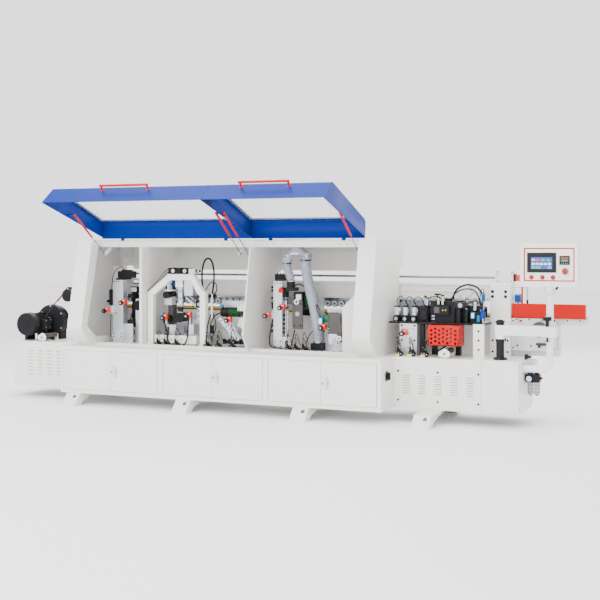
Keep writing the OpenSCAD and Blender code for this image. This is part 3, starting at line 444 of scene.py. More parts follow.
def by_boxes(base, *zones):
    """A rule that gives the first zone's finish that a face's middle lies in."""
    return lambda c: next((m for low, high, m in zones if in_box(c, low, high)), base)


def counter_rule(c):
    fronts = {444: (3300, 3420), 394: (880, 1700), 384: (200, 520)}
    front = next((y for y, (a, b) in fronts.items() if a < c[0] < b), 384)
    if 2560 < c[0] < 2640:
        front = 394
    if c[1] < front - 0.5:
        return BLACK
    return STEEL if c[1] > front + 35 and c[0] < 4200 else ORANGE


FAR = 6000


def slab(axis, low, high, mat):
    """A zone bounded along one axis only: 0, 1 or 2 for x, y or z."""
    a, b = [-FAR] * 3, [FAR] * 3
    a[axis], b[axis] = low, high
    return a, b, mat


IDLE_RULE = by_boxes(DIAL, slab(1, 330.5, FAR, BROWN))
PRESS_RULE = by_boxes(RUBBER, slab(2, 1022.5, FAR, STEEL), slab(2, 0, 865, STEEL))
RULES = {
    # The hood's inside faces take the darker white as painted shade; its outer faces stay white.
    "hood": by_boxes(
        SHADED_WHITE,
        slab(0, -FAR, 212, WHITE),
        slab(0, 3018, FAR, WHITE),
        ((-FAR, -FAR, 1529), (FAR, 441, FAR), WHITE),
        slab(2, 1598, FAR, WHITE),
        slab(1, 972, FAR, WHITE),
    ),
    "cover_left": pane_rule,
    "cover_right": pane_rule,
    "lift_columns": by_boxes(
        WHITE,
        ((-FAR, 880, 1205), (FAR, FAR, FAR), ALU),
        ((4243, 700, 610), (FAR, 840, 905), ALU),
    ),
    "outfeed_roller": IDLE_RULE,
    "infeed_roller": IDLE_RULE,
    "counters": counter_rule,
    "unit_stands": by_boxes(
        ALU,
        ((760, 300, 560), (1420, 645, 1275), WHITE),
        ((2634, 425, 720), (2760, 447, 930), DARK),
    ),
    "unit_heads": by_boxes(
        IRON,
        ((1586, 460, 860), (1714, 545, 946), GREEN),
        ((2568, 460, 835), (2700, 540, 910), PALE_GREEN),
        ((880, 478, 958), (962, 562, 1042), ALU),
        ((1145, 398, 1055), (1245, 522, 1215), ALU),
        ((955, 438, 670), (1035, 602, 775), ALU),
        ((1155, 438, 670), (1235, 602, 785), ALU),
    ),
    "trim_carriage": by_boxes(
        IRON,
        ((2356, 520, 969), (2420, 600, 1100), GREEN),
        ((2255, 483, 760), (2359, 501, 1036), DARK),
    ),
    "corner_arm": by_boxes(
        ALU,
        ((1030, 390, 790), (1150, 424.5, 900), BLACK),
        ((1040, 424.6, 800), (1140, 574, 895), GREEN),
    ),
    "buff_wheel": by_boxes(CLOTH, ((540, 660, 930), (580, 689, 960), STEEL)),
    "air_unit": by_boxes(
        BLACK,
        ((4424, 570, 240), (4480, 650, 364), GLASS),
        ((4481, 570, 240), (4536, 650, 364), GLASS),
        ((4424, 580, 436), (4480, 640, 480), COBALT),
    ),
    "drive_motor": by_boxes(IRON, ((-495, 680, 950), (-340, 850, 1090), BLACK)),
    "press_roller_1": PRESS_RULE,
    "press_roller_2": PRESS_RULE,
    "press_roller_3": PRESS_RULE,
    "pressure_beam": by_boxes(SHADED_WHITE, ((-FAR, 870, 900), (FAR, 945, 1044), STEEL)),
}
PLAIN = {
    WHITE: ["feet", "main_cabinet", "infeed_base", "outfeed_base", "support_arm", "panel_tube",
            "control_panel"] + [f"door_{i}" for i in range(1, 7)],
    SHADED_WHITE: ["conveyor_track"],
    PAD: ["conveyor_chain"],
    RUBBER: ["pressure_rollers"],
    CHROME: ["latch_1", "latch_2", "latch_3"],
    ROD_STEEL: ["strut_rods_left", "strut_rods_right", "sync_shaft"],
    RED: ["cover_handle_left", "cover_handle_right", "strut_tubes_left", "strut_tubes_right",
          "strip_basket", "stop_button", "key_1", "key_2", "key_3"],
    IRON: ["glue_unit"],
    DARK: ["strip_disc"],
    FENCE_RED: ["fence"],
    BLACK: ["clamp_knob", "main_switch"],
    HOSE: ["dust_manifold"],
    STEEL: ["trim_saw"],
}
BEVELS = {
    "feet": 1.5, "main_cabinet": 2.0, "infeed_base": 2.0, "outfeed_base": 2.0, "control_panel": 3.0,
    "conveyor_track": 2.0, "pressure_beam": 1.5, "lift_columns": 2.0, "support_arm": 3.0,
    "cover_left": 0.8, "cover_right": 0.8, "strip_basket": 0, "fence": 2.0, "pressure_rollers": 2.0,
    "trim_saw": 0.4,
}


def dress(node, rule):
    """Gives a CAD node its finishes, face by face, and softens its edges."""
    o = frame["nodes"][node]
    mesh = o.data
    mesh.materials.clear()
    if "custom_normal" in mesh.attributes:
        mesh.attributes.remove(mesh.attributes["custom_normal"])
    slots = {}
    for f in mesh.polygons:
        c = [(f.center[0] - CORNER.x) / MM, (f.center[1] - CORNER.y) / MM, f.center[2] / MM]
        m = rule(c)
        if m.name not in slots:
            slots[m.name] = len(mesh.materials)
            mesh.materials.append(m)
        f.use_smooth = True
        f.material_index = slots[m.name]
    soften(o, BEVELS.get(node, 1.0), weld=True)


for node, rule in RULES.items():
    dress(node, rule)
for mat, nodes in PLAIN.items():
    for node in nodes:
        dress(node, by_boxes(mat))

# ---------------------------------------------------------------- base


def louvre_lips(k, x0, count, pitch, z0, rows, rise, w, y):
    """Pressed hoods over the ventilation slots."""
    for i in range(count):
        for j in range(rows):
            x, z = x0 + i * pitch, z0 + j * rise + 7
            k.plate([(y, z - 1), (y - 5, z - 1), (y - 4, z + 2), (y, z + 5)], "yz", x - 2, x + w + 2,
                    WHITE)


def rear_panels(k, x0, x1, n, z0, z1, y):
    """Screwed sheets on the back of a base."""
    pitch = (x1 - x0) / n
    for i in range(n):
        a, b = x0 + i * pitch + 18, x0 + (i + 1) * pitch - 18
        k.box((a, y, z0 + 22), (b, y + 2, z1 - 22), WHITE)
        k.screws((a + 16, (a + b) / 2, b - 16), y + 2, (z0 + 38, z1 - 38), BACK, STEEL, 6, 4)
        for j in range(6):
            z = (z0 + z1) / 2 - 60 + j * 22
            k.plate([(y + 2, z), (y + 7, z), (y + 6, z + 3), (y + 2, z + 7)], "yz", (a + b) / 2 - 70,
                    (a + b) / 2 + 70, WHITE)


base = Kit("base_details", "frame")
out_low, out_high = span("outfeed_base")
in_low, in_high = span("infeed_base")
louvre_lips(base, -625, 4, 116, 232, 8, 34, 62, out_low[1])
louvre_lips(base, 3396, 5, 142, 250, 8, 22, 64, in_low[1])
EDGE_ROWS = (out_low[2] + 24, TOP - 24)
base.screws((out_low[0] + 24, out_low[0] + 390, -24), out_low[1], EDGE_ROWS, FRONT, STEEL, 6, 4)
base.screws((CAB_L + 24, 4115, in_high[0] - 24), in_low[1], EDGE_ROWS, FRONT, STEEL, 6, 4)
for x, side in ((in_high[0], RIGHT), (out_low[0], LEFT)):
    base.screws(x, (in_low[1] + 40, in_high[1] - 60), (160, 520), side, STEEL, 6, 4)
base.screws((3352, 3711, 4069), in_low[1], (188, 443), FRONT, BLACK, 9, 5)
base.box((4090, in_low[1] - 0.6, in_low[2] + 2), (4092, in_low[1] + 0.2, TOP - 2), DARK)
rear_panels(base, out_low[0], 0, 1, out_low[2], TOP, out_high[1])
rear_panels(base, 0, CAB_L, 4, out_low[2], TOP, out_high[1])
rear_panels(base, CAB_L, in_high[0], 1, out_low[2], TOP, in_high[1])
for x in (76, 1294, 2482, 3598):
    base.hexagons((x + 20, x + 120), (6, 892), 96, DOWN, 7, 6, STEEL)
# cable glands and terminal box on the infeed end
base.box((in_high[0], 700, 380), (in_high[0] + 60, 840, 540), WHITE)
for y in (725, 770, 815):
    base.rod_z((in_high[0] + 30, y, 380), 350, 12, BLACK, 6)
    base.rod_z((in_high[0] + 30, y, 350), 338, 9, BLACK)
base.screws(in_high[0] + 60, (712, 828), (392, 528), RIGHT, STEEL, 5, 3)
for x in (-465, 3768):
    base.plate([(x - 38, 578), (x + 38, 578), (x + 50, 592), (x + 50, 618), (x + 38, 632), (x - 38, 632),
                (x - 50, 618), (x - 50, 592)], "xz", 312, 318, WHITE)
    base.rod_y((x, 309, 606), 312, 11, STEEL, 20)
    base.screw((x, 309, 606), FRONT, BLACK, 8, 4)
base.done()

for i, (x, body) in enumerate(((618, "door_2"), (1713, "door_4"), (2797, "door_6"))):
    lock = Kit(f"lock_{i + 1}", body, 0.4)
    low, high = span(body)
    lock.ring((x, -0.2, 340), BACK, 19, 12, 1.4, STEEL)
    lock.ring((low[0] + 14.5, -4.2, 336), BACK, 9.5, 6.5, 4, BRASS)
    lock.rod_y((low[0] + 14.5, -3.6, 336), -0.5, 6.6, BRASS)
    lock.box((low[0] + 13.6, -3.9, 331.5), (low[0] + 15.4, -3.4, 340.5), BLACK)
    lock.done()

# ---------------------------------------------------------------- hood and covers

hood = Kit("hood_details", "frame")
HOOD_BACK = span("hood")[1][1]
ROOF = 1600
# folded seams of the roof and the rear sheet
for x in (733, 1330, 1921, 2480):
    hood.box((x, 470, ROOF), (x + 26, 970, ROOF + 1.6), WHITE)
    hood.box((x, HOOD_BACK, 1306), (x + 26, HOOD_BACK + 1.6, 1594), WHITE)
    hood.screws(x + 13, (500, 620, 740, 860, 950), ROOF + 1.6, UP, STEEL, 5, 3)
    hood.screws(x + 13, HOOD_BACK + 1.6, (1320, 1400, 1480, 1560), BACK, STEEL, 5, 3)
# screws along the front edges of the end caps, the partitions and the threshold
hood.screws((214, 3014), 282, (620, 760), FRONT, STEEL, 5, 3)
for x, side in ((747, RIGHT), (1921, LEFT)):
    hood.screws(x, 600, (640, 900, 1160, 1420), side, STEEL, 5, 3)
hood.screws(range(260, 3000, 210), 262, 578, FRONT, STEEL, 4, 2.5)
# hinge leaves' screws on the front beam
for x in (440, 1590, 2060, 2790):
    hood.screws((x - 14, x + 54), 375, 1560, FRONT, BLACK, 4.5, 3)
# ledge and cable duct along the rear wall, and the service plate above the dust collector
hood.box((240, 958, 1480), (3000, 970, 1490), SHADED_WHITE)
hood.box((240, 930, 1552), (3000, 968, 1590), SHADED_WHITE)
DUCT_X, DUCT_Y = 2290, 500
hood.ring((DUCT_X, DUCT_Y, ROOF), UP, 96, 64, 5, WHITE)
hood.rod_z((DUCT_X, DUCT_Y, ROOF + 1), ROOF + 3, 65, DARK)
for dx, dy in circle(82, 8):
    hood.hexagon((DUCT_X + dx, DUCT_Y + dy, ROOF + 5), UP, 5, 5, STEEL)
hood.done()


def cover_trim(side):
    """Black seal round the window and screws in the frame of a cover."""
    low, high = span(f"cover_{side}")
    k = Kit(f"cover_{side}_trim", f"cover_{side[0]}", 0.5)
    x0, x1 = low[0] + 34, high[0] - 34
    outward = -PANEL_IN

    def on(along, depth, x):
        q = KNEE + PANEL_ALONG * along + PANEL_IN * depth
        return (x, q.x, q.y)

    for along in WINDOW:
        a = KNEE + PANEL_ALONG * along - PANEL_IN * 0.6
        k.rod_x((x0, a.x, a.y), x1, 2.2, BLACK, 10)
    for x in (x0, x1):
        k.rod(on(WINDOW[0], -0.6, x), on(WINDOW[1], -0.6, x), 2.2, BLACK, 10)
    count = round((x1 - x0) / 260)
    for i in range(count + 1):
        x = x0 + (x1 - x0) * i / count
        for along in (WINDOW[0] - 9, WINDOW[1] + 9):
            k.screw(on(along, -0.1, x), (0, outward.x, outward.y), STEEL, 4, 2.2)
    for i in range(5):
        along = WINDOW[0] + (WINDOW[1] - WINDOW[0]) * i / 4
        for x in (x0 - 12, x1 + 12):
            k.screw(on(along, -0.1, x), (0, outward.x, outward.y), STEEL, 4, 2.2)
    k.done()


for side in ("left", "right"):
    cover_trim(side)

STRUT_LOW = Vector((300, 1467))
STRUT_X = {"left": (300, 1812), "right": (1890, 2995)}
for side, xs in STRUT_X.items():
    eye = opened(245, 985)
    d = (STRUT_LOW - eye).normalized()
    cuffs = Kit(f"strut_cuffs_{side}", f"tubes_{side[0]}", 0.3)
    for x in xs:
        for s in (20, 338):
            a, b = eye + d * s, eye + d * (s + 8)
            cuffs.rod((x, a.x, a.y), (x, b.x, b.y), 10.8, BLACK)
        cuffs.rod_x((x - 10.5, eye.x, eye.y), x - 8, 6, STEEL, 6)
    cuffs.done()

# ---------------------------------------------------------------- conveyor and pressure beam

CHAIN_X = span("conveyor_chain")[0][0]
track_low, track_high = span("conveyor_track")
chain = Kit("chain_details", "frame", 0.5)
for i in range(65):
    x = CHAIN_X + 20 + i * 80.6
    chain.box((x + 3, 869.6, 916), (x + 69, 874.5, 929.6), YELLOW)
    for dx in (10, 26, 42, 58):
        chain.box((x + dx - 1.2, 876, 929.4), (x + dx + 1.2, 944, 930.4), IRON)
    chain.rod_y((x + 76, 871, 910), 949, 4, STEEL, 12)
chain.box((track_low[0] + 2, 859.5, 899), (track_high[0] - 2, 862, 909), PAD)
chain.box((track_low[0] + 2, 860.4, 909), (track_high[0] - 2, 862, 921.6), YELLOW)
# where the track's tall part ends
TALL_X = 4656
chain.screws(range(-380, 4640, 260), 862, 800, FRONT, STEEL, 6, 4)
chain.screws(range(-380, 4640, 260), 958, (860, 640), BACK, STEEL, 6, 4)
chain.screws((4690, 4860), 862, 875, FRONT, STEEL, 6, 4)
chain.screws((4690, 4860), 958, 875, BACK, STEEL, 6, 4)
chain.box((track_low[0] + 40, 958, 700), (TALL_X - 16, 964, 712), SHADED_WHITE)
for x in range(-300, 4500, 520):
    chain.box((x, 958, 600), (x + 34, 964, 880), SHADED_WHITE)
# sprockets at the ends
for x, side in ((track_low[0] + 34, LEFT), (track_high[0] - 34, RIGHT)):
    chain.rod_y((x, 880, 880), 940, 24, STEEL)
    chain.rod_y((x, 868, 880), 952, 9, STEEL)
    chain.screws(x + 34 * side[0], (874, 946), 874, side, STEEL, 4, 3)
chain.done()

beam_low, beam_high = span("pressure_beam")
roll_low, roll_high = span("pressure_rollers")
ROLL_R = (roll_high[2] - roll_low[2]) / 2
ROLL_Z = (roll_high[2] + roll_low[2]) / 2
ROLL_PITCH = (roll_high[0] - roll_low[0] - 2 * ROLL_R) / 53
rollers = Kit("roller_rings", "beam", 0.6)
for i in range(54):
    x, y = roll_low[0] + ROLL_R + i * ROLL_PITCH, roll_low[1]
    rollers.ring((x, y - 1.6, ROLL_Z), BACK, 25, 12, 2.4, RING, 24)
    rollers.ring((x, y - 2.6, ROLL_Z), BACK, 11.5, 4.5, 3.4, IRON, 18)
    rollers.rod_y((x, y - 4, ROLL_Z), y, 4.4, STEEL, 12)
    rollers.hexagon((x, 942, ROLL_Z), BACK, 8, 7, STEEL)
for y, side in ((868, FRONT), (952, BACK)):
    rollers.screws(range(120, 4040, 280), y, (1078, 1172), side, STEEL, 6, 4)
rollers.box((beam_low[0] + 60, 862, 1122), (beam_high[0] - 90, 868, 1128), SHADED_WHITE)
rollers.done()

columns = Kit("column_details", "frame", 0.8)
columns.screws((4082, 4200), 770, (1090, 1134), FRONT, BLACK, 14, 9)
for x0, x1 in ((4078, 4243), (-80, 28)):
    columns.hexagons((x0 + 16, x1 - 16), (902, 946), 1302, UP, 7, 8, BLACK)
    columns.box((x0 + 8, 886, 1216), (x1 - 8, 890, 1292), ALU)
    columns.screws((x0 + 20, x1 - 20), 886, (1226, 1282), FRONT, BLACK, 5, 4)
    columns.rod_z(((x0 + x1) / 2, 925, 1206), 1196, 30, STEEL)
columns.box((4243, 884, 1222), (4258, 964, 1290), IRON)
columns.screws(4035, 450, (640, 720, 800), FRONT, BLACK, 9, 6)
columns.screws((4300, 4420, 4600), 790, 660, FRONT, BLACK, 8, 6)
columns.screws((4084, 4218), 770, (600, 700), FRONT, BLACK, 9, 6)
columns.screws((-70, 18), 770, (620, 1140), FRONT, BLACK, 8, 6)
columns.ring((4255.5, 930, 1253), RIGHT, 19, 11.5, 12, STEEL, 24)
columns.done()

# ---------------------------------------------------------------- working units


def valve_trim(k, x, y, tubes):
    """Fittings, sockets, a blank tag and air tubes of one valve."""
    k.box((x + 2, y - 10, TOP + 2), (x + 40, y - 7.5, TOP + 22), LABEL)
    k.box((x + 6, y - 10, TOP + 26), (x + 38, y - 7, TOP + 42), IRON)
    for dx, colour in ((12, BRASS), (34, STEEL)):
        k.rod_y((x + dx, y - 14, TOP + 34), y - 7, 5, colour, 6)
    k.rod_z((x + 14, y + 30, TOP + 66), TOP + 82, 10, BLACK, 20)
    k.rod_z((x + 14, y + 30, TOP + 80), TOP + 86, 6, STEEL, 6)
    k.rod_z((x + 34, y + 30, TOP + 62), TOP + 72, 7, BRASS, 6)
    k.box((x + 44, y + 10, TOP + 8), (x + 60, y + 46, TOP + 36), IRON)
    k.rod_y((x + 52, y + 10, TOP + 22), y - 2, 6, STEEL, 6)
    for dx, dy, rise, sway in tubes:
        k.hose([(x + 14 + dx, y + 30, TOP + 84), (x + 16 + dx, y + 34, TOP + 84 + rise),
                (x + sway / 2, y + 70 + dy, TOP + 90 + rise * 1.4), (x + sway, y + 130 + dy, TOP + rise)],
               3.2, BLACK, 8, 6)


def column_screws(k, xs, y, rows):
    """Screws up the front of a unit's column."""
    k.screws(xs, y, rows, FRONT, BLACK, 6.5, 5)


def knob_trim(k, x, y, z):
    """Chrome cap, lobes and blank dial window of a position counter's knob and body."""
    cx, cz = x - 14, z - 10
    k.rod_y((cx, y - 27.5, cz), y - 25, 9, CHROME)
    for dx, dz in circle(17, 6):
        k.rod_y((cx + dx, y - 25, cz + dz), y - 7, 7, BLACK, 14)
    k.box((x - 4, y - 1.2, z + 6), (x + 20, y + 0.5, z + 20), BLACK)
    for i in range(4):
        k.box((x - 2.5 + i * 5.6, y - 1.8, z + 8), (x + 1.5 + i * 5.6, y, z + 18), DIAL)


def finned_motor(k, p, axis, r, length, mat, fins=18):
    """Cooling fins, end rings and bolts of a motor that lies along the axis."""
    p, axis = Vector(p), Vector(axis)
    for out in spokes(axis, fins):
        q = p + out * (r + 2)
        k.rod(q + axis * 6, q + axis * (length - 6), 2.2, mat, 6)
    for s in (0, length - 5):
        k.ring(p + axis * s, axis, r + 3.5, r - 4, 5, BLACK, 28)
    for out in spokes(axis, 4, 45):
        k.rod(p + out * (r - 5) - axis * 3, p + out * (r - 5), 3, STEEL, 8)


def fan_guard(k, p, axis, r):
    """Slotted guard on the end of a motor's fan cover."""
    p, axis = Vector(p), Vector(axis)
    for rr in (0.3, 0.55, 0.8):
        k.ring(p, axis, r * rr + 1.6, r * rr - 1.6, 2, IRON, 28)
    for out in spokes(axis, 12)[:6]:
        k.rod(p + axis * 1.5 - out * r * 0.9, p + axis * 1.5 + out * r * 0.9, 1.3, IRON, 6)


def cylinder_unit(k, p, axis, r, body, rod):
    """Small air cylinder: barrel with two end caps, rod and nut."""
    p, axis = Vector(p), Vector(axis)
    k.rod(p, p + axis * body, r, CHROME, 20)
    for s in (0, body - 10):
        k.rod(p + axis * s, p + axis * (s + 10), r + 2, BLACK, 20)
    k.rod(p + axis * body, p + axis * (body + rod), r * 0.35, STEEL, 12)
    k.rod(p + axis * (body + rod - 8), p + axis * (body + rod), r * 0.7, STEEL, 6)


scrape = Kit("scraper_details", "frame")
column_screws(scrape, (318, 345, 372), 450, 1185,)
column_screws(scrape, (316, 346), 450, 868,)
column_screws(scrape, (318, 404), 442, (664, 632))
scrape.screws((250, 455, 560), (385, 598), 577, UP, BLACK, 7, 6)
scrape.box((258, 452, 946), (300, 500, 1104), IRON)
for z in range(956, 1100, 18):
    scrape.box((252, 448, z), (304, 456, z + 9), BLACK)
scrape.rod_x((232, 476, 984), 262, 9, BLACK)
scrape.rod_x((222, 476, 984), 236, 15, BLACK, 12)
for x in (500, 530):
    scrape.rod_z((x, 640, 700), 1150, 6, CHROME)
for z in (700, 1130):
    scrape.box((484, 620, z), (546, 662, z + 24), ALU)
for z in (760, 850, 1040):
    scrape.box((488, 604, z), (542, 668, z + 44), IRON)
    scrape.screw((515, 604, z + 22), FRONT, STEEL, 8, 5)
for x in (440, 462, 484):
    cylinder_unit(scrape, (x, 588, 1070), UP, 10, 62, 20)
scrape.hose([(452, 590, 700), (470, 580, 660), (430, 560, 640), (440, 540, 760), (470, 560, 900)], 5)
scrape.hose([(340, 600, 1286), (330, 560, 1330), (250, 540, 1250), (236, 520, 1000), (240, 500, 620)], 4)
scrape.box((332, 560, 1286), (440, 610, 1300), IRON)
scrape.hexagons((322, 360, 398, 436), 590, 1286, UP, 7, 12, STEEL)
scrape.box((486, 520, 1160), (640, 560, 1172), BLACK)
scrape.box((500, 516, 1172), (560, 560, 1200), ALU)
cylinder_unit(scrape, (600, 540, 1000), UP, 16, 110, 30)
scrape.box((560, 500, 790), (626, 558, 830), ALU)
cylinder_unit(scrape, (590, 540, 700), UP, 12, 80, 14)
fan_guard(scrape, (560, 500, 945), FRONT, 46)
finned_motor(scrape, (560, 562, 945), BACK, 46, 116, GREEN)
knob_trim(scrape, 262, 384, 900)
knob_trim(scrape, 460, 384, 985)
scrape.done()

arch = Kit("arch_details", "frame")
arch.screws((774, 826, 1352, 1404), 360, 600, UP, BLACK, 8, 7)
for x in (1064, 1192):
    arch.ring((x, 326.5, 1300), BACK, 17, 8, 5, DIAL, 24)
    arch.rod_y((x, 329, 1300), 333, 8, BLACK)
for x in (1010, 1090, 1170):
    for dx in (4, 10, 44, 52):
        arch.box((x + dx, 327, 1274), (x + dx + 3, 332, 1326), IRON)
    arch.rod_z((x + 20, 370, 1330), 1338, 8, STEEL, 6)
    arch.rod_z((x + 46, 370, 1330), 1336, 6, BRASS, 6)
arch.box((1234, 334, 1272), (1300, 416, 1322), ALU)
cylinder_unit(arch, (1300, 376, 1300), RIGHT, 12, 40, 14)
arch.hose([(1012, 350, 1318), (960, 352, 1290), (870, 350, 1190), (764, 352, 1098)], 4)
arch.hose([(1012, 380, 1310), (940, 400, 1260), (850, 410, 1170), (800, 430, 1060), (790, 440, 700)], 4)
# clamp lever and cylinder at the arch's left shoulder
arch.box((918, 452, 1152), (1008, 470, 1178), COBALT)
arch.box((905, 470, 1090), (975, 540, 1200), BLACK)
arch.box((880, 476, 1112), (896, 540, 1208), ALU)
cylinder_unit(arch, (1020, 500, 1100), UP, 15, 90, 22)
arch.box((1120, 500, 1080), (1150, 560, 1220), ALU)
arch.screws(1135, 500, (1100, 1140, 1190), FRONT, STEEL, 6, 5)
for dz in (0, 46):
    arch.rod((1150, 470, 1190 - dz), (1330, 470, 1086 - dz), 9, STEEL)
arch.rod((1120, 480, 1040), (1290, 500, 900), 11, ALU)
arch.rod((1150, 480, 1060), (1310, 500, 930), 7, STEEL)
arch.box((1230, 480, 940), (1330, 540, 1010), IRON)
arch.hexagon((1262, 480, 974), FRONT, 12, 9, STEEL)
arch.hexagon((1306, 480, 966), FRONT, 9, 8, STEEL)
arch.box((1250, 470, 820), (1334, 520, 900), ALU)
arch.screws((1270, 1312), 470, 860, FRONT, BLACK, 8, 6)
# left-hand milling motor and its bracket
arch.box((884, 446, 790), (916, 514, 868), BLACK)
finned_motor(arch, (916, 480, 828), RIGHT, 30, 40, IRON, 14)
arch.rod_x((916, 480, 828), 956, 30, IRON)
arch.box((896, 524, 676), (952, 600, 1000), DARK)
# work plate behind the tray with its fixing knobs
arch.plate([(880, 676), (880, 730), (1000, 760), (1110, 900), (1190, 900), (1290, 760), (1330, 676)],
           "xz", 650, 662, ALU)
for x, z in ((920, 724), (1080, 742), (1120, 742), (1260, 730)):
    arch.rod_y((x, 640, z), 652, 13, BLACK, 18)
for x in (930, 1040, 1150, 1260):
    arch.rod_y((x, 352, 640), 346, 6, BLACK)
for x in (960, 1180):
    arch.hose([(x, 500, 780), (x - 30, 460, 720), (x - 20, 430, 650), (x + 60, 400, 640),
               (x + 130, 440, 690)], 4)
# hanging loop in front of the tray
arch.hose([(934, 386, 816), (960, 370, 740), (1000, 336, 690), (1010, 322, 630), (1060, 316, 584),
           (1130, 316, 578), (1200, 318, 600), (1226, 330, 680), (1214, 360, 770), (1206, 386, 850)], 7.5,
          BLACK, 12)
for x in (1180, 1064, 1220):
    arch.hose([(x, 480, 1200), (x + 30, 440, 1150), (x + 60, 430, 1080), (x + 40, 470, 1000),
               (x + 10, 500, 930)], 3.4, BLACK, 8)
knob_trim(arch, 1195, 394, 872)
arch.box((898, 388, 812), (912, 432, 890), CYAN)
knob_trim(arch, 930, 394, 850)
arch.done()

swing = Kit("corner_arm_details", "arm")
swing.hexagon((1090, 424, 1190), FRONT, 14, 10, STEEL)
swing.box((1066, 418, 900), (1114, 446, 950), IRON)
swing.screws(1090, 424, (960, 1030, 1100, 1150), FRONT, BLACK, 8, 5)
fan_guard(swing, (1090, 396, 846), FRONT, 46)
finned_motor(swing, (1090, 430, 846), BACK, 42, 138, GREEN)
swing.lathe((1090, 690, 846), BACK, [(0, 6), (0, 24), (8, 26), (20, 26), (26, 22), (26, 6)], STEEL, 32)
swing.done()

trim = Kit("fine_trim_details", "frame")
finned_motor(trim, (1584, 505, 905), RIGHT, 38, 126, GREEN)
fan_guard(trim, (1508, 505, 905), LEFT, 42)
for x in range(1516, 1580, 12):
    trim.ring((x, 505, 905), RIGHT, 46.5, 43, 4, BLACK, 28)
trim.box((1690, 470, 920), (1780, 530, 985), SHADED_WHITE)
trim.screws((1706, 1764), 470, (932, 972), FRONT, BLACK, 5, 4)
trim.box((1700, 470, 760), (1780, 520, 850), SHADED_WHITE, ("Y", 28))
trim.box((1650, 440, 690), (1760, 470, 712), STEEL, ("Y", 42))
for x, z in ((1530, 824), (1584, 771), (1640, 716), (1694, 664)):
    trim.screw((x, 440, z), FRONT, BLACK, 7, 6)
trim.rod((1560, 470, 845), (1772, 470, 640), 8, CHROME)
for x in (1540, 1600, 1660, 1720):
    trim.rod_y((x, 500, 640), 470, 11, BLACK)
    trim.box((x - 14, 480, 600), (x + 14, 540, 632), IRON)
trim.hose([(1512, 470, 900), (1460, 420, 860), (1446, 380, 760), (1470, 350, 680), (1490, 340, 640)], 6)
trim.hose([(1440, 400, 880), (1420, 380, 800), (1424, 350, 720), (1430, 330, 650)], 5)
trim.hose([(1452, 420, 900), (1490, 400, 820), (1500, 380, 740), (1470, 350, 660)], 5)
trim.rod_z((1440, 420, 700), 780, 22, BLACK)
trim.rod_z((1440, 420, 780), 800, 14, BRASS, 6)
trim.rod_z((1440, 420, 800), 1080, 9, SHADED_WHITE)
trim.rod_z((1440, 420, TOP), 700, 12, STEEL)
trim.box((1498, 470, 950), (1530, 500, 980), CYAN, ("Y", 30))
trim.box((1820, 440, TOP), (1890, 560, 600), SHADED_WHITE)
trim.hexagons((1836, 1874), 470, 600, UP, 8, 9, STEEL)
knob_trim(trim, 1630, 394, 841)
trim.hose([(1320, 470, 1070), (1360, 450, 1120), (1420, 440, 1190), (1470, 450, 1170), (1460, 470, 1100),
           (1400, 480, 1060), (1330, 480, 1050)], 5, BLACK, 10)
trim.done()

finish = Kit("end_trim_details", "frame")
column_screws(finish, (2094, 2120, 2148), 450, 1192,)
column_screws(finish, (2094, 2150), 450, (650, 600))
for z in (1150, 1120, 1050, 1000, 790, 740):
    finish.rod_x((2078, 478, z), 2050, 7, BLACK)
    finish.rod_x((2056, 478, z), 2046, 12, BLACK, 8)
finish.box((2052, 462, 950), (2078, 500, 1010), IRON)
finish.box((2054, 462, 900), (2078, 490, 916), YELLOW)
finish.plate([(2150, 1104), (2196, 1104), (2196, 1132), (2180, 1160), (2160, 1150), (2150, 1130)], "xz",
             400, 424, RED)
for x in (2196, 2216):
    finish.rod_z((x, 470, 700), 940, 7, CHROME)
for z in (720, 760, 800, 840, 880):
    finish.box((2166, 460, z), (2194, 500, z + 22), BLACK)
cylinder_unit(finish, (2184, 500, 960), UP, 15, 80, 16)
finish.hexagons((2050, 2080, 2110, 2140), 600, 1273, UP, 7, 12, BLACK)
finish.box((2170, 450, 584), (2254, 480, 690), ALU)
finish.hexagon((2212, 450, 640), FRONT, 13, 9, BLACK)
finish.plate([(2474, 736), (2540, 736), (2540, 800), (2500, 880), (2474, 860)], "xz", 572, 590, RED)
finish.hose([(2070, 470, 880), (2056, 440, 760), (2050, 420, 660), (2084, 400, 600), (2200, 380, 590)], 7)
finish.hose([(2240, 430, 760), (2236, 410, 680), (2226, 390, 610), (2250, 370, 590)], 4)
finish.hose([(2300, 440, 760), (2290, 420, 680), (2276, 400, 600)], 5)
finish.hose([(2236, 540, 1152), (2280, 560, 1180), (2330, 580, 1160), (2380, 560, 1094)], 6)
finish.screws((2160, 2280, 2420), 440, 577, UP, BLACK, 7, 6)
knob_trim(finish, 2040, 384, 896)
knob_trim(finish, 2192, 384, 974)
finish.done()

carriage = Kit("carriage_details", "carriage")
finned_motor(carriage, (2385, 560, 974), UP, 30, 112, GREEN, 16)
fan_guard(carriage, (2385, 560, 1090), UP, 30)
carriage.screws((2276, 2340), 484, (800, 1000), FRONT, BLACK, 8, 5)
carriage.hexagon((2308, 484, 906), FRONT, 16, 9, STEEL)
carriage.ring((2300, 478, 1018), BACK, 26, 12, 8, ALU)
carriage.box((2300, 470, 1040), (2350, 500, 1090), ALU)
carriage.box((2232, 740, 900), (2256, 800, 980), ALU)
carriage.done()

saw = Kit("saw_teeth", "saw", 0)
SAW_Y, SAW_Z, TEETH = 770, 940, 48
for i, (dy, dz) in enumerate(circle(58, TEETH)):
    y, z = SAW_Y + dy, SAW_Z + dz
    saw.box((2363.6, y - 2.2, z - 2.2), (2368.4, y + 2.2, z + 2.2), STEEL, ("X", 360 * i / TEETH))
saw.hexagon((2376, SAW_Y, SAW_Z), RIGHT, 9, 6, STEEL)
saw.done()

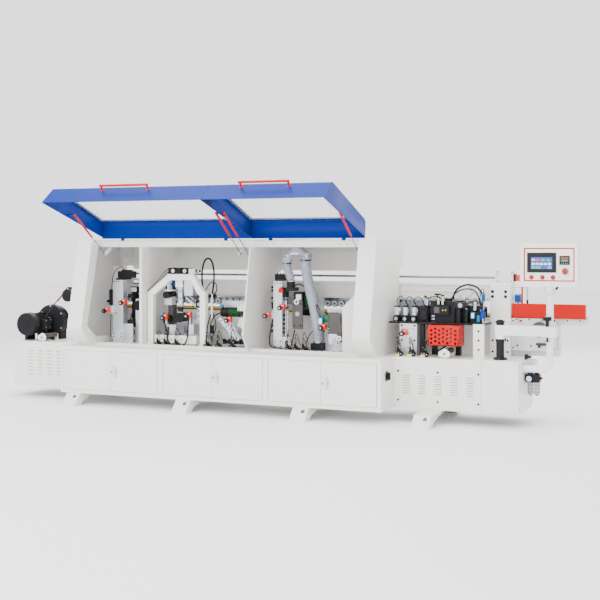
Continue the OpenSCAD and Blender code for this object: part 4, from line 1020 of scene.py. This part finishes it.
rough = Kit("rough_trim_details", "frame")
finned_motor(rough, (2575, 505, 872), RIGHT, 34, 122, PALE_GREEN)
fan_guard(rough, (2569, 505, 872), LEFT, 30)
rough.box((2540, 430, 812), (2582, 470, 884), CYAN)
rough.box((2546, 426, 824), (2576, 431, 872), DIAL)
rough.box((2600, 470, 906), (2690, 540, 926), BLACK)
for i in range(7):
    rough.box((2634, 424, 738 + i * 27), (2650, 446, 750 + i * 27), DARK, ("Y", 45))
rough.plate([(2760, 800), (2838, 960), (2826, 760), (2790, 700)], "xz", 380, 392, DARK)
rough.box((2700, 390, 650), (2722, 430, 700), STEEL, ("Y", 40))
rough.ring((2762, 384, 700), BACK, 24, 9, 12, DIAL)
rough.box((2770, 390, 690), (2826, 440, 770), BLACK, ("Y", 12))
for x, z in ((2790, 760), (2812, 716), (2834, 690)):
    rough.hexagon((x, 390, z), FRONT, 8, 8, BRASS)
    rough.hose([(x, 386, z), (x + 14, 360, z - 30), (x + 40, 350, z - 70), (x + 60, 360, 600)], 3.4,
               BLACK, 8)
rough.hose([(2560, 440, 880), (2530, 420, 960), (2520, 440, 1000), (2540, 480, 940)], 4)
rough.hose([(2500, 400, 760), (2470, 390, 720), (2440, 380, 640), (2480, 370, 584)], 5)
rough.rod_z((2820, 420, TOP), 650, 8, CHROME)
rough.screws((2590, 2700, 2780), 420, 577, UP, BLACK, 7, 6)
knob_trim(rough, 2600, 394, 800)
rough.done()

valves = Kit("valve_details", "frame", 0.5)
for i, x in enumerate((881, 960, 1081, 1418, 1538, 1687, 2262, 2340, 2420)):
    valve_trim(valves, x, 288, ((0, 0, 40 + 12 * (i % 3), 30), (20, 20, 24, -24)))
for x in (3306, 3420, 3540):
    valve_trim(valves, x, 366, ((0, 0, 30, 20), (20, 10, 50, -20)))
valves.hose([(870, 330, 584), (980, 318, 576), (1200, 322, 576), (1400, 316, 578), (1600, 322, 576),
             (1740, 330, 584)], 4)
valves.hose([(2230, 330, 584), (2330, 320, 576), (2430, 322, 578), (2560, 340, 584)], 4)
valves.done()

# ---------------------------------------------------------------- gluing unit and infeed

glue = Kit("glue_details", "frame")
for x in (3248, 3330, 3412):
    glue.ring((x, 560, 883), FRONT, 17, 10, 6, STEEL, 24)
    glue.rod_y((x, 556, 883), 552, 9, CHROME)
    glue.rod_z((x, 700, 885), 900, 15, STEEL)
    glue.hexagon((x, 700, 900), UP, 8, 8, BLACK)
    glue.rod_z((x, 590, 905), 1000, 22, RING)
    for z in (905, 988):
        glue.rod_z((x, 590, z), z + 12, 25, BLACK)
    glue.rod_z((x + 4, 590, 1000), 1016, 6, BRASS, 6)
    glue.hose([(x + 4, 590, 1014), (x + 8, 580, 1060), (x + 60, 560, 1080), (x + 120, 560, 980),
               (x + 130, 540, 870)], 4, BLACK, 8)
# pot: lid, bolts, heater caps and blank plate
glue.box((3554, 594, 1040), (3786, 786, 1048), IRON)
glue.hexagons((3572, 3768), (612, 768), 1048, UP, 7, 8, STEEL)
glue.rod_z((3700, 690, 1048), 1070, 34, IRON, 32)
glue.rod_z((3700, 690, 1070), 1080, 26, STEEL, 32)
for z in (880, 905):
    glue.box((3572, 596, z), (3600, 600, z + 14), STEEL)
glue.box((3606, 556, 944), (3654, 560, 996), DARK)
for x in (3690, 3716):
    glue.rod_y((x, 560, 970), 540, 8, BRASS, 6)
for dx, dy in circle(24, 6):
    glue.rod_z((3615 + dx, 640 + dy, 1098), 1112, 7, BLACK, 12)
glue.rod_z((3615, 640, 1114), 1117, 10, CHROME)
for x, y, z0, z1, r in ((3640, 576, 1010, 1090, 13), (3680, 576, 1010, 1104, 13),
                        (3530, 590, 1000, 1080, 14), (3500, 640, 1000, 1092, 12)):
    glue.rod_z((x, y, z0), z1, r, CHROME, 24)
    glue.rod_z((x, y, z0), z0 + 10, r + 3, BLACK, 24)
    glue.rod_z((x, y, z1 - 12), z1, r + 3, BLACK, 24)
    glue.rod_z((x, y, z1), z1 + 14, 5, BRASS, 6)
# strip guide: rollers, cutter cylinder, screws and sensors
for x, top, r in ((3820, 1011, 21), (3890, 981, 15)):
    glue.rod_z((x, 600, top), top + 6, r, STEEL, 32)
    glue.hexagon((x, 600, top + 6), UP, 7, 7, BLACK)
glue.rod_y((3843, 556, 1015), 560, 20, STEEL, 28)
glue.screws((3800, 3886), 560, 1006, FRONT, BLACK, 6, 5)
glue.box((3940, 556, 900), (3972, 600, 956), CYAN)
glue.box((3944, 552, 908), (3968, 556, 948), DIAL)
glue.box((3990, 570, 870), (4014, 600, 930), CYAN)
for x, mat in ((4006, STEEL), (3910, BLACK)):
    glue.screws(x, 640, (890, 930, 970), FRONT, mat, 6, 5)
cylinder_unit(glue, (3960, 620, 962), UP, 17, 96, 20)
cylinder_unit(glue, (3870, 690, 1000), UP, 14, 70, 16)
glue.rod_z((4046, 560, 861), 905, 9, STEEL, 20)
glue.rod_z((4046, 560, 905), 962, 22, COBALT, 10)
glue.rod_z((4046, 560, 962), 982, 14, COBALT, 20)
glue.rod_z((4040, 612, 872), 1050, 6, STEEL, 16)
glue.box((4026, 600, 1048), (4054, 625, 1123), CYAN)
glue.box((4029, 597, 1060), (4051, 601, 1110), COBALT)
glue.rod_z((4040, 612, 1123), 1134, 5, BLACK, 16)
glue.hose([(4040, 612, 1130), (4038, 622, 1160), (4010, 660, 1150), (3990, 690, 1080), (3986, 700, 990)],
          3.4, BLACK, 8)
# strip path: rails with rollers between the disc and the glue head
for z in (905, 985):
    glue.box((3856, 686, z), (4046, 699, z + 5), STEEL)
for x in (3880, 3990):
    glue.rod_z((x, 690, 912), 984, 9, RING, 20)
glue.box((4044, 560, 861), (4060, 720, 872), ALU)
glue.screws((3222, 3290, 3370, 3452, 3545, 3600, 3700, 3800, 3920, 4060), 482, 861, UP, BLACK, 6, 5)
glue.box((3206, 466, 851), (4080, 470, 859), IRON)
glue.screws((3330, 3450), 480, (590, 700, 830), FRONT, BLACK, 9, 7)
glue.screws(3390, 480, (640, 760), FRONT, STEEL, 12, 6)
knob_trim(glue, 3360, 444, 770)
glue.hose([(3545, 560, 862), (3560, 520, 820), (3580, 470, 740), (3560, 430, 660), (3548, 400, 640)], 5)
glue.hose([(3800, 610, 861), (3790, 640, 760), (3690, 610, 640), (3600, 560, 590)], 6)
glue.hose([(3700, 780, 1046), (3730, 800, 1110), (3820, 820, 1150), (3920, 800, 1130), (3980, 770, 1010)],
          6, BLACK, 10)
glue.hose([(3640, 800, 1028), (3560, 790, 1080), (3470, 760, 1040), (3440, 740, 900)], 5, BLACK, 10)
glue.hose([(3986, 560, 960), (4010, 540, 1010), (3990, 560, 1060), (3962, 600, 1075)], 4, BLACK, 8)
glue.done()

beam_plate = Kit("beam_round_plate", "beam", 0.8)
beam_plate.ring((3806, 859, 1125), BACK, 66, 59, 9, RING, 48)
beam_plate.rod_y((3806, 861, 1125), 868, 60, DIAL, 48)
for dx, dz in circle(50, 4, 45):
    beam_plate.screw((3806 + dx, 861, 1125 + dz), FRONT, STEEL, 4, 3)
beam_plate.done()

for i in (1, 2, 3):
    x, top = middle(f"press_roller_{i}")[0], span(f"press_roller_{i}")[1][2]
    cap = Kit(f"press_roller_{i}_cap", f"press_{i}", 0.5)
    cap.ring((x, 806, top), UP, 17, 9, 3, RING, 28)
    cap.hexagon((x, 806, top), UP, 7, 9, STEEL)
    cap.done()

infeed = Kit("infeed_details", "frame")
infeed.hexagons((3612, 3868), 560, 840, BACK, 6, 6, STEEL)
for x in (3222, 3440):
    infeed.rod_z((x, 380, TOP), TOP + 8, 14, STEEL, 6)
# second sensor with its bracket, and the two tubes beside the column
infeed.box((4243, 866, 1064), (4282, 874, 1092), STEEL)
infeed.box((4262, 850, 1034), (4318, 890, 1111), CYAN)
infeed.box((4268, 846, 1048), (4312, 851, 1098), COBALT)
infeed.rod_z((4290, 870, 1034), 1020, 6, BLACK, 16)
infeed.box((4243, 862, 1168), (4384, 870, 1176), STEEL)
infeed.rod_z((4328, 860, 1020), 1175, 8, RED, 20)
infeed.rod_z((4372, 870, 1000), 1176, 7, STEEL, 20)
infeed.rod_z((4372, 870, 1000), 1060, 10, BLACK, 20)
infeed.rod_z((4328, 860, 1012), 1030, 11, BLACK, 20)
# strip guide under the disc, its clamp and the brown bar behind
infeed.box((4470, 752, 668), (4586, 764, 690), BROWN)
infeed.rod_y((4500, 740, 660), 752, 12, BLACK, 18)
infeed.screws((4262, 4620), 790, (640, 880), FRONT, BLACK, 7, 5)
# post: flange screws and the clamp ring of the arm
POST_X, POST_Y = 4226, 445
for dx, dy in circle(48, 6):
    infeed.hexagon((POST_X + dx, POST_Y + dy, 577), UP, 7, 8, BLACK)
infeed.ring((POST_X, POST_Y, 720), UP, 38, 33, 30, IRON, 32)
infeed.box((4262, 433, 722), (4276, 457, 748), IRON)
infeed.rod_y((4269, 424, 735), 466, 4, STEEL)
infeed.ring((POST_X, POST_Y, 884), UP, 40, 33, 13, BLACK, 32)
for dx, dy in circle(54, 6, 30):
    infeed.screw((POST_X + dx, POST_Y + dy, 577), UP, STEEL, 4, 3)
# elbow flange of the panel's tube
for dy, dz in circle(50, 8):
    infeed.hexagon((4422, 445 + dy, 497 + dz), RIGHT, 6, 7, STEEL)
infeed.ring((4650, 445, 1118), UP, 33.5, 30, 26, SHADED_WHITE, 40)
# air unit: gauge, bowl guards, hoses
GAUGE_X, GAUGE_Z = 4452, 400
infeed.ring((GAUGE_X, 538, GAUGE_Z), BACK, 24, 19, 6, CHROME, 28)
infeed.rod_y((GAUGE_X, 538.6, GAUGE_Z), 541, 19, DIAL, 28)
for dx, dz in circle(15, 12, -30)[:9]:
    infeed.rod_y((GAUGE_X + dx, 538.2, GAUGE_Z + dz), 539.2, 1.0, BLACK, 8)
# The needle takes the glowing red of the display digits, a painted glow on a part that gives no light.
infeed.box((GAUGE_X - 0.8, 537.6, GAUGE_Z - 12), (GAUGE_X + 0.8, 538.8, GAUGE_Z + 14), GLOWING_RED,
           ("Y", 35))
for x in (4452, 4508):
    infeed.rod_z((x, 610, 248), 258, 9, BLACK, 16)
    for z in (278, 308, 338):
        infeed.ring((x, 610, z), UP, 27.8, 25.6, 3, IRON, 28)
infeed.hose([(4508, 610, 455), (4510, 604, 486), (4480, 560, 512), (4430, 560, 500), (4414, 600, 470)], 4,
            COBALT, 8)
infeed.rod_x((4550, 610, 400), 4562, 9, BRASS, 6)
infeed.done()

disc = Kit("disc_details", "disc", 0.4)
DISC_X, _, DISC_Z = middle("strip_disc")
DISC_Y = span("strip_disc")[0][1]
disc.hexagon((DISC_X, DISC_Y, DISC_Z), FRONT, 12, 9, STEEL)
for dx, dz in circle(40, 6):
    disc.screw((DISC_X + dx, DISC_Y, DISC_Z + dz), FRONT, STEEL, 4.5, 3)
disc.done()

grip = Kit("fence_details", "fence", 0.5)
low, high = span("fence")
grip.screws(range(int(low[0]) + 50, int(high[0]) - 20, 110), low[1], low[2] + 26, FRONT, BLACK, 7, 4)
grip.done()

knob = Kit("clamp_knob_cap", "knob", 0.4)
x, y, _ = middle("clamp_knob")
top = span("clamp_knob")[1][2]
knob.rod_z((x, y, top), top + 2, 8, DIAL, 24)
knob.done()

# ---------------------------------------------------------------- control panel

face = Kit("panel_face", "panel", 0.3)
PANEL_Y = 396
FIELD_Y = PANEL_Y + 2
x0, x1, z0, z1 = 4438, 4862, 1242, 1525
EDGE = 11
for a, b in (((x0, z0), (x1, z0 + EDGE)), ((x0, z1 - EDGE), (x1, z1)),
             ((x0, z0 + EDGE), (x0 + EDGE, z1 - EDGE)), ((x1 - EDGE, z0 + EDGE), (x1, z1 - EDGE))):
    face.box((a[0], PANEL_Y + 0.4, a[1]), (b[0], FIELD_Y, b[1]), RED)
# screen: wide bezel, blue field and rows of plain tiles
face.box((4467, PANEL_Y - 4, 1316), (4711, PANEL_Y, 1484), BLACK)
face.box((4500, PANEL_Y - 4.6, 1346), (4678, PANEL_Y - 3.6, 1446), TILE_BLUE)
TILE_ROWS = (
    (1414, ((4508, 26, TILE_YELLOW), (4544, 30, TILE_RED), (4588, 28, TILE_GREEN),
            (4632, 28, TILE_GREEN))),
    (1380, tuple((4506 + 34 * i, 26, TILE_PALE) for i in range(5))),
    (1350, ((4504, 36, TILE_GREEN), (4546, 36, TILE_GREEN), (4638, 34, TILE_CYAN))),
)
for z, tiles in TILE_ROWS:
    for x, w, tile in tiles:
        face.box((x, PANEL_Y - 5.2, z), (x + w, PANEL_Y - 4.2, z + 18), tile)
        face.box((x + 7, PANEL_Y - 5.6, z + 7), (x + w - 7, PANEL_Y - 5.0, z + 11), TILE_BLUE)
# temperature controller with two bar displays and four keys
face.box((4737, PANEL_Y - 5, 1382), (4823, PANEL_Y, 1458), BLACK)
face.box((4745, PANEL_Y - 5.6, 1404), (4815, PANEL_Y - 4.6, 1450), SCREEN)
for k, (mat, z) in enumerate(((GLOWING_RED, 1431), (DIGIT_GREEN, 1411))):
    for i in range(4):
        x = 4757 + i * 13
        for dx, dz, w, h in ((0, 0, 1.6, 5), (5, 0, 1.6, 5), (0, 6, 1.6, 5), (5, 6, 1.6, 5),
                             (1, -1.2, 4.6, 1.6), (1, 4.8, 4.6, 1.6), (1, 10.8, 4.6, 1.6)):
            if (i + k) % 2 and dx == 0 and dz == 0:
                continue
            face.box((x + dx, PANEL_Y - 6.0, z + dz), (x + dx + w, PANEL_Y - 5.2, z + dz + h), mat)
for i in range(4):
    face.rod_y((4756 + i * 16, PANEL_Y - 6.4, 1392), PANEL_Y - 4.6, 4, RUBBER, 20)
# bezels of the keys and of the stop button, screws and rear plate of the box
for x in (4503, 4595, 4683):
    face.ring((x, FIELD_Y - 3, 1276), BACK, 19, 14.6, 3, BLACK, 36)
face.ring((4784, FIELD_Y - 2.4, 1328), BACK, 27, 21, 2.4, BLACK, 44)
face.screws((4424, 4876), PANEL_Y, (1214, 1551), FRONT, STEEL, 5, 2.6)
face.box((4470, 494, 1240), (4830, 496.5, 1526), WHITE)
face.screws((4482, 4818), 496.5, (1252, 1514), BACK, STEEL, 5, 3)
for j in range(7):
    face.box((4560, 496.4, 1440 + j * 10), (4740, 498, 1443 + j * 10), DARK)
face.ring((4650, 445, 1148), UP, 47, 44.2, 10, SHADED_WHITE, 40)
for dx, dy in circle(43.5, 4, 45):
    face.screw((4650 + dx, 445 + dy, 1170), (dx, dy, 0), BLACK, 5, 3)
face.hose([(4700, 480, 1202), (4704, 484, 1186), (4690, 470, 1172)], 9, BLACK, 14, 6)
face.done()

KEY_CAP = [(0, 0.2), (0, 10.5), (0.6, 11.5), (1.6, 11.5), (1.6, 0.2)]
STOP_CAP = [(0, 0.2), (0, 10), (1, 16), (3, 19.6), (5, 20.3), (8, 20.3), (8, 0.2)]
for node, body, proud, profile, bevel, n in (
    ("key_1", "key_a", 0.6, KEY_CAP, 0.2, 32),
    ("key_2", "key_b", 0.6, KEY_CAP, 0.2, 32),
    ("key_3", "key_c", 0.6, KEY_CAP, 0.2, 32),
    ("stop_button", "stop", 2, STOP_CAP, 0.3, 44),
):
    x, _, z = middle(node)
    cap = Kit(f"{node}_face", body, bevel)
    cap.lathe((x, span(node)[0][1] - proud, z), BACK, profile, RED, n)
    cap.done()

# ---------------------------------------------------------------- drive motor

motor = Kit("motor_details", "frame")
# x and z of the axes of the big motor and its reducer
MOTOR = (-672, 735)
REDUCER = (-580, 758)
for r in (18, 36, 54, 72, 90, 106):
    motor.ring((MOTOR[0], 323.6, MOTOR[1]), BACK, r + 2, r - 2, 2.4, IRON, 40)
for dx, dz in circle(108, 12)[:6]:
    motor.rod((MOTOR[0] - dx, 324.6, MOTOR[1] - dz), (MOTOR[0] + dx, 324.6, MOTOR[1] + dz), 1.7, IRON, 6)
motor.ring((MOTOR[0], 392, MOTOR[1]), BACK, 118, 110, 8, BLACK, 48)
for (x, z), y, r, side, size, h in ((MOTOR, 596, 106, FRONT, 6, 8), (REDUCER, 616, 152, FRONT, 8, 9),
                                    (REDUCER, 744, 134, BACK, 8, 9)):
    for dx, dz in circle(r, 6, 30):
        motor.hexagon((x + dx, y, z + dz), side, size, h, STEEL)
motor.screws(MOTOR[0] + 146, (466, 544), (700, 770), RIGHT, STEEL, 5, 4)
motor.rod_z((MOTOR[0] + 116, 505, 676), 656, 11, BLACK, 6)
motor.hose([(MOTOR[0] + 116, 505, 660), (MOTOR[0] + 118, 500, 616), (MOTOR[0] + 180, 470, 590),
            (-420, 470, 576)], 7, BLACK, 12, 10)
motor.rod_z((REDUCER[0], 645, REDUCER[1] + 163), REDUCER[1] + 178, 10, STEEL, 6)
motor.rod_z((REDUCER[0], 700, REDUCER[1] + 148), REDUCER[1] + 162, 8, STEEL, 6)
motor.hexagons((REDUCER[0] - 100, REDUCER[0] + 100), (650, 712), TOP, UP, 8, 9, STEEL)
motor.hexagons((-486, -364), 850, (670, 900, 1080), FRONT, 8, 8, STEEL)
# small motor: fins, fan guard and terminal box
SMALL_X, SMALL_Z = -425, 1020
for dx, dz in circle(63.5, 20):
    motor.rod_y((SMALL_X + dx, 730, SMALL_Z + dz), 845, 2.2, IRON, 6)
for r in (14, 28, 42):
    motor.ring((SMALL_X, 687.8, SMALL_Z), BACK, r + 1.8, r - 1.8, 2.2, BLACK, 32)
motor.box((SMALL_X - 35, 760, 1078), (SMALL_X + 35, 820, 1106), IRON)
motor.rod_z((SMALL_X, 790, 1106), 1116, 8, BLACK, 6)
# lead from the small motor down to the terminal box, with its red sleeve
motor.hose([(-460, 790, 1092), (-486, 780, 1096), (-506, 740, 1040), (-520, 600, 930), (-548, 510, 820),
            (-552, 500, 782)], 6, BLACK, 12, 10)
motor.hose([(-506, 740, 1040), (-511, 695, 1000), (-516, 650, 962)], 8, RED, 12, 8)
motor.done()

# ---------------------------------------------------------------- main switch

_, y, z = middle("main_switch")
plate = Kit("switch_plate", "frame", 0.6)
plate.box((CAB_L, y - 44, z - 44), (CAB_L + 1.6, y + 44, z + 44), DARK)
plate.screws(CAB_L + 1.6, (y - 36, y + 36), (z - 36, z + 36), RIGHT, STEEL, 4, 2.5)
plate.done()

# ---------------------------------------------------------------- hoses

LONG_ROUTE = [(2388, 500, 1415), (2388, 500, 1340), (2425, 500, 1150), (2475, 500, 950), (2505, 500, 780),
              (2510, 500, 700), (2510, 500, 640)]
SHORT_ROUTE = [(2195, 500, 1385), (2195, 500, 1345), (2222, 500, 1270), (2236, 500, 1220)]
for name, node, points, r in (("long_hose_ribbed", "dust_hose_long", LONG_ROUTE, 46.5),
                              ("short_hose_ribbed", "dust_hose_short", SHORT_ROUTE, 36.5)):
    ribbed = Kit(name, "frame", 0)
    ribbed.hose(points, r, HOSE, 44, 14, 4.6, 20)
    ribbed.done(node)

ROUND_ROUTE = [(1322, 460, 1075), (1316, 460, 1160), (1312, 460, 1280), (1335, 460, 1385),
               (1378, 460, 1421), (1420, 460, 1385), (1442, 460, 1280), (1436, 460, 1160),
               (1424, 460, 1075)]
INFEED_ROUTE = [(3750, 690, 1046), (3750, 690, 1100), (3790, 685, 1160), (3880, 680, 1195),
                (3970, 670, 1170), (4020, 655, 1100), (4020, 650, 1010)]
for name, node, points, r in (("round_cable", "cable_loop_round", ROUND_ROUTE, 9),
                              ("infeed_cable", "cable_loop_infeed", INFEED_ROUTE, 8.5)):
    cable = Kit(name, "frame", 0)
    cable.hose(points, r, BLACK, 16, 12)
    cable.done(node)

bands = Kit("hose_bands", "frame", 0.4)
for x, z0, r in ((2388, 1400, 52.5), (2195, 1372, 42.5), (2388, 1440, 55.5), (2195, 1438, 51.5)):
    bands.ring((x, 500, z0), UP, r, r - 3.4, 14, BLACK if z0 < 1410 else STEEL, 44)
    bands.box((x - 12, 500 - r - 8, z0 - 1), (x + 12, 500 - r + 1, z0 + 13), STEEL)
    bands.rod_x((x - 16, 500 - r - 5, z0 + 6), x + 16, 4, BLACK, 12)
bands.ring((2510, 500, 644), UP, 51.5, 49, 14, STEEL, 44)
bands.ring((2236, 500, 1206), UP, 42, 39.8, 12, STEEL, 44)
bands.ring((2290, 500, 1462), UP, 61.5, 58.8, 14, DIAL, 44)
bands.done()

# ---------------------------------------------------------------- floor, light and camera

floor_mesh = bpy.data.meshes.new("floor")
floor_mesh.from_pydata([(-30, -30, 0), (30, -30, 0), (30, 30, 0), (-30, 30, 0)], [], [(0, 1, 2, 3)])
floor_mesh.materials.append(FLOOR)
floor_sheet = bpy.data.objects.new("floor", floor_mesh)
bpy.context.scene.collection.objects.link(floor_sheet)
floor_sheet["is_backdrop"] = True

world = bpy.data.worlds.new("studio")
world.use_nodes = True
world.node_tree.nodes["Background"].inputs["Color"].default_value = (1, 1, 1, 1)
world.node_tree.nodes["Background"].inputs["Strength"].default_value = 2.1
bpy.context.scene.world = world


def area_light(name, place, target, size, power):
    """Soft rectangular light aimed at a point; metres in the row frame."""
    lamp = bpy.data.lights.new(name, "AREA")
    lamp.shape = "RECTANGLE"
    lamp.size, lamp.size_y = size
    lamp.energy = power
    o = bpy.data.objects.new(name, lamp)
    o.location = place
    o.rotation_euler = (Vector(target) - Vector(place)).to_track_quat("-Z", "Y").to_euler()
    bpy.context.scene.collection.objects.link(o)
    o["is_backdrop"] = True


area_light("key", (-1.5, -5.5, 5.2), (0, 0.2, 0.8), (6, 3), 420)
area_light("front", (3.0, -7.5, 2.6), (0, 0, 0.9), (5, 3), 190)
area_light("top", (0, 0.6, 5.0), (0, 0.3, 0), (7, 3), 260)
area_light("back", (-1, 6.5, 3.6), (0, 0.6, 0.8), (7, 3), 200)

# the photograph's viewpoint: eye height 1.54 m, turned 23.5 degrees, kept level with the lens shifted down
lens = bpy.data.cameras.new("main")
lens.sensor_width = 36
lens.lens = 64.89
lens.shift_y = -0.08983
lens.clip_end = 100
camera = bpy.data.objects.new("main", lens)
camera.location = at((6353, -8758, 1539))
camera.rotation_euler = (math.pi / 2, 0, math.radians(23.5))
bpy.context.scene.collection.objects.link(camera)
bpy.context.scene.camera = camera

low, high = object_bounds()
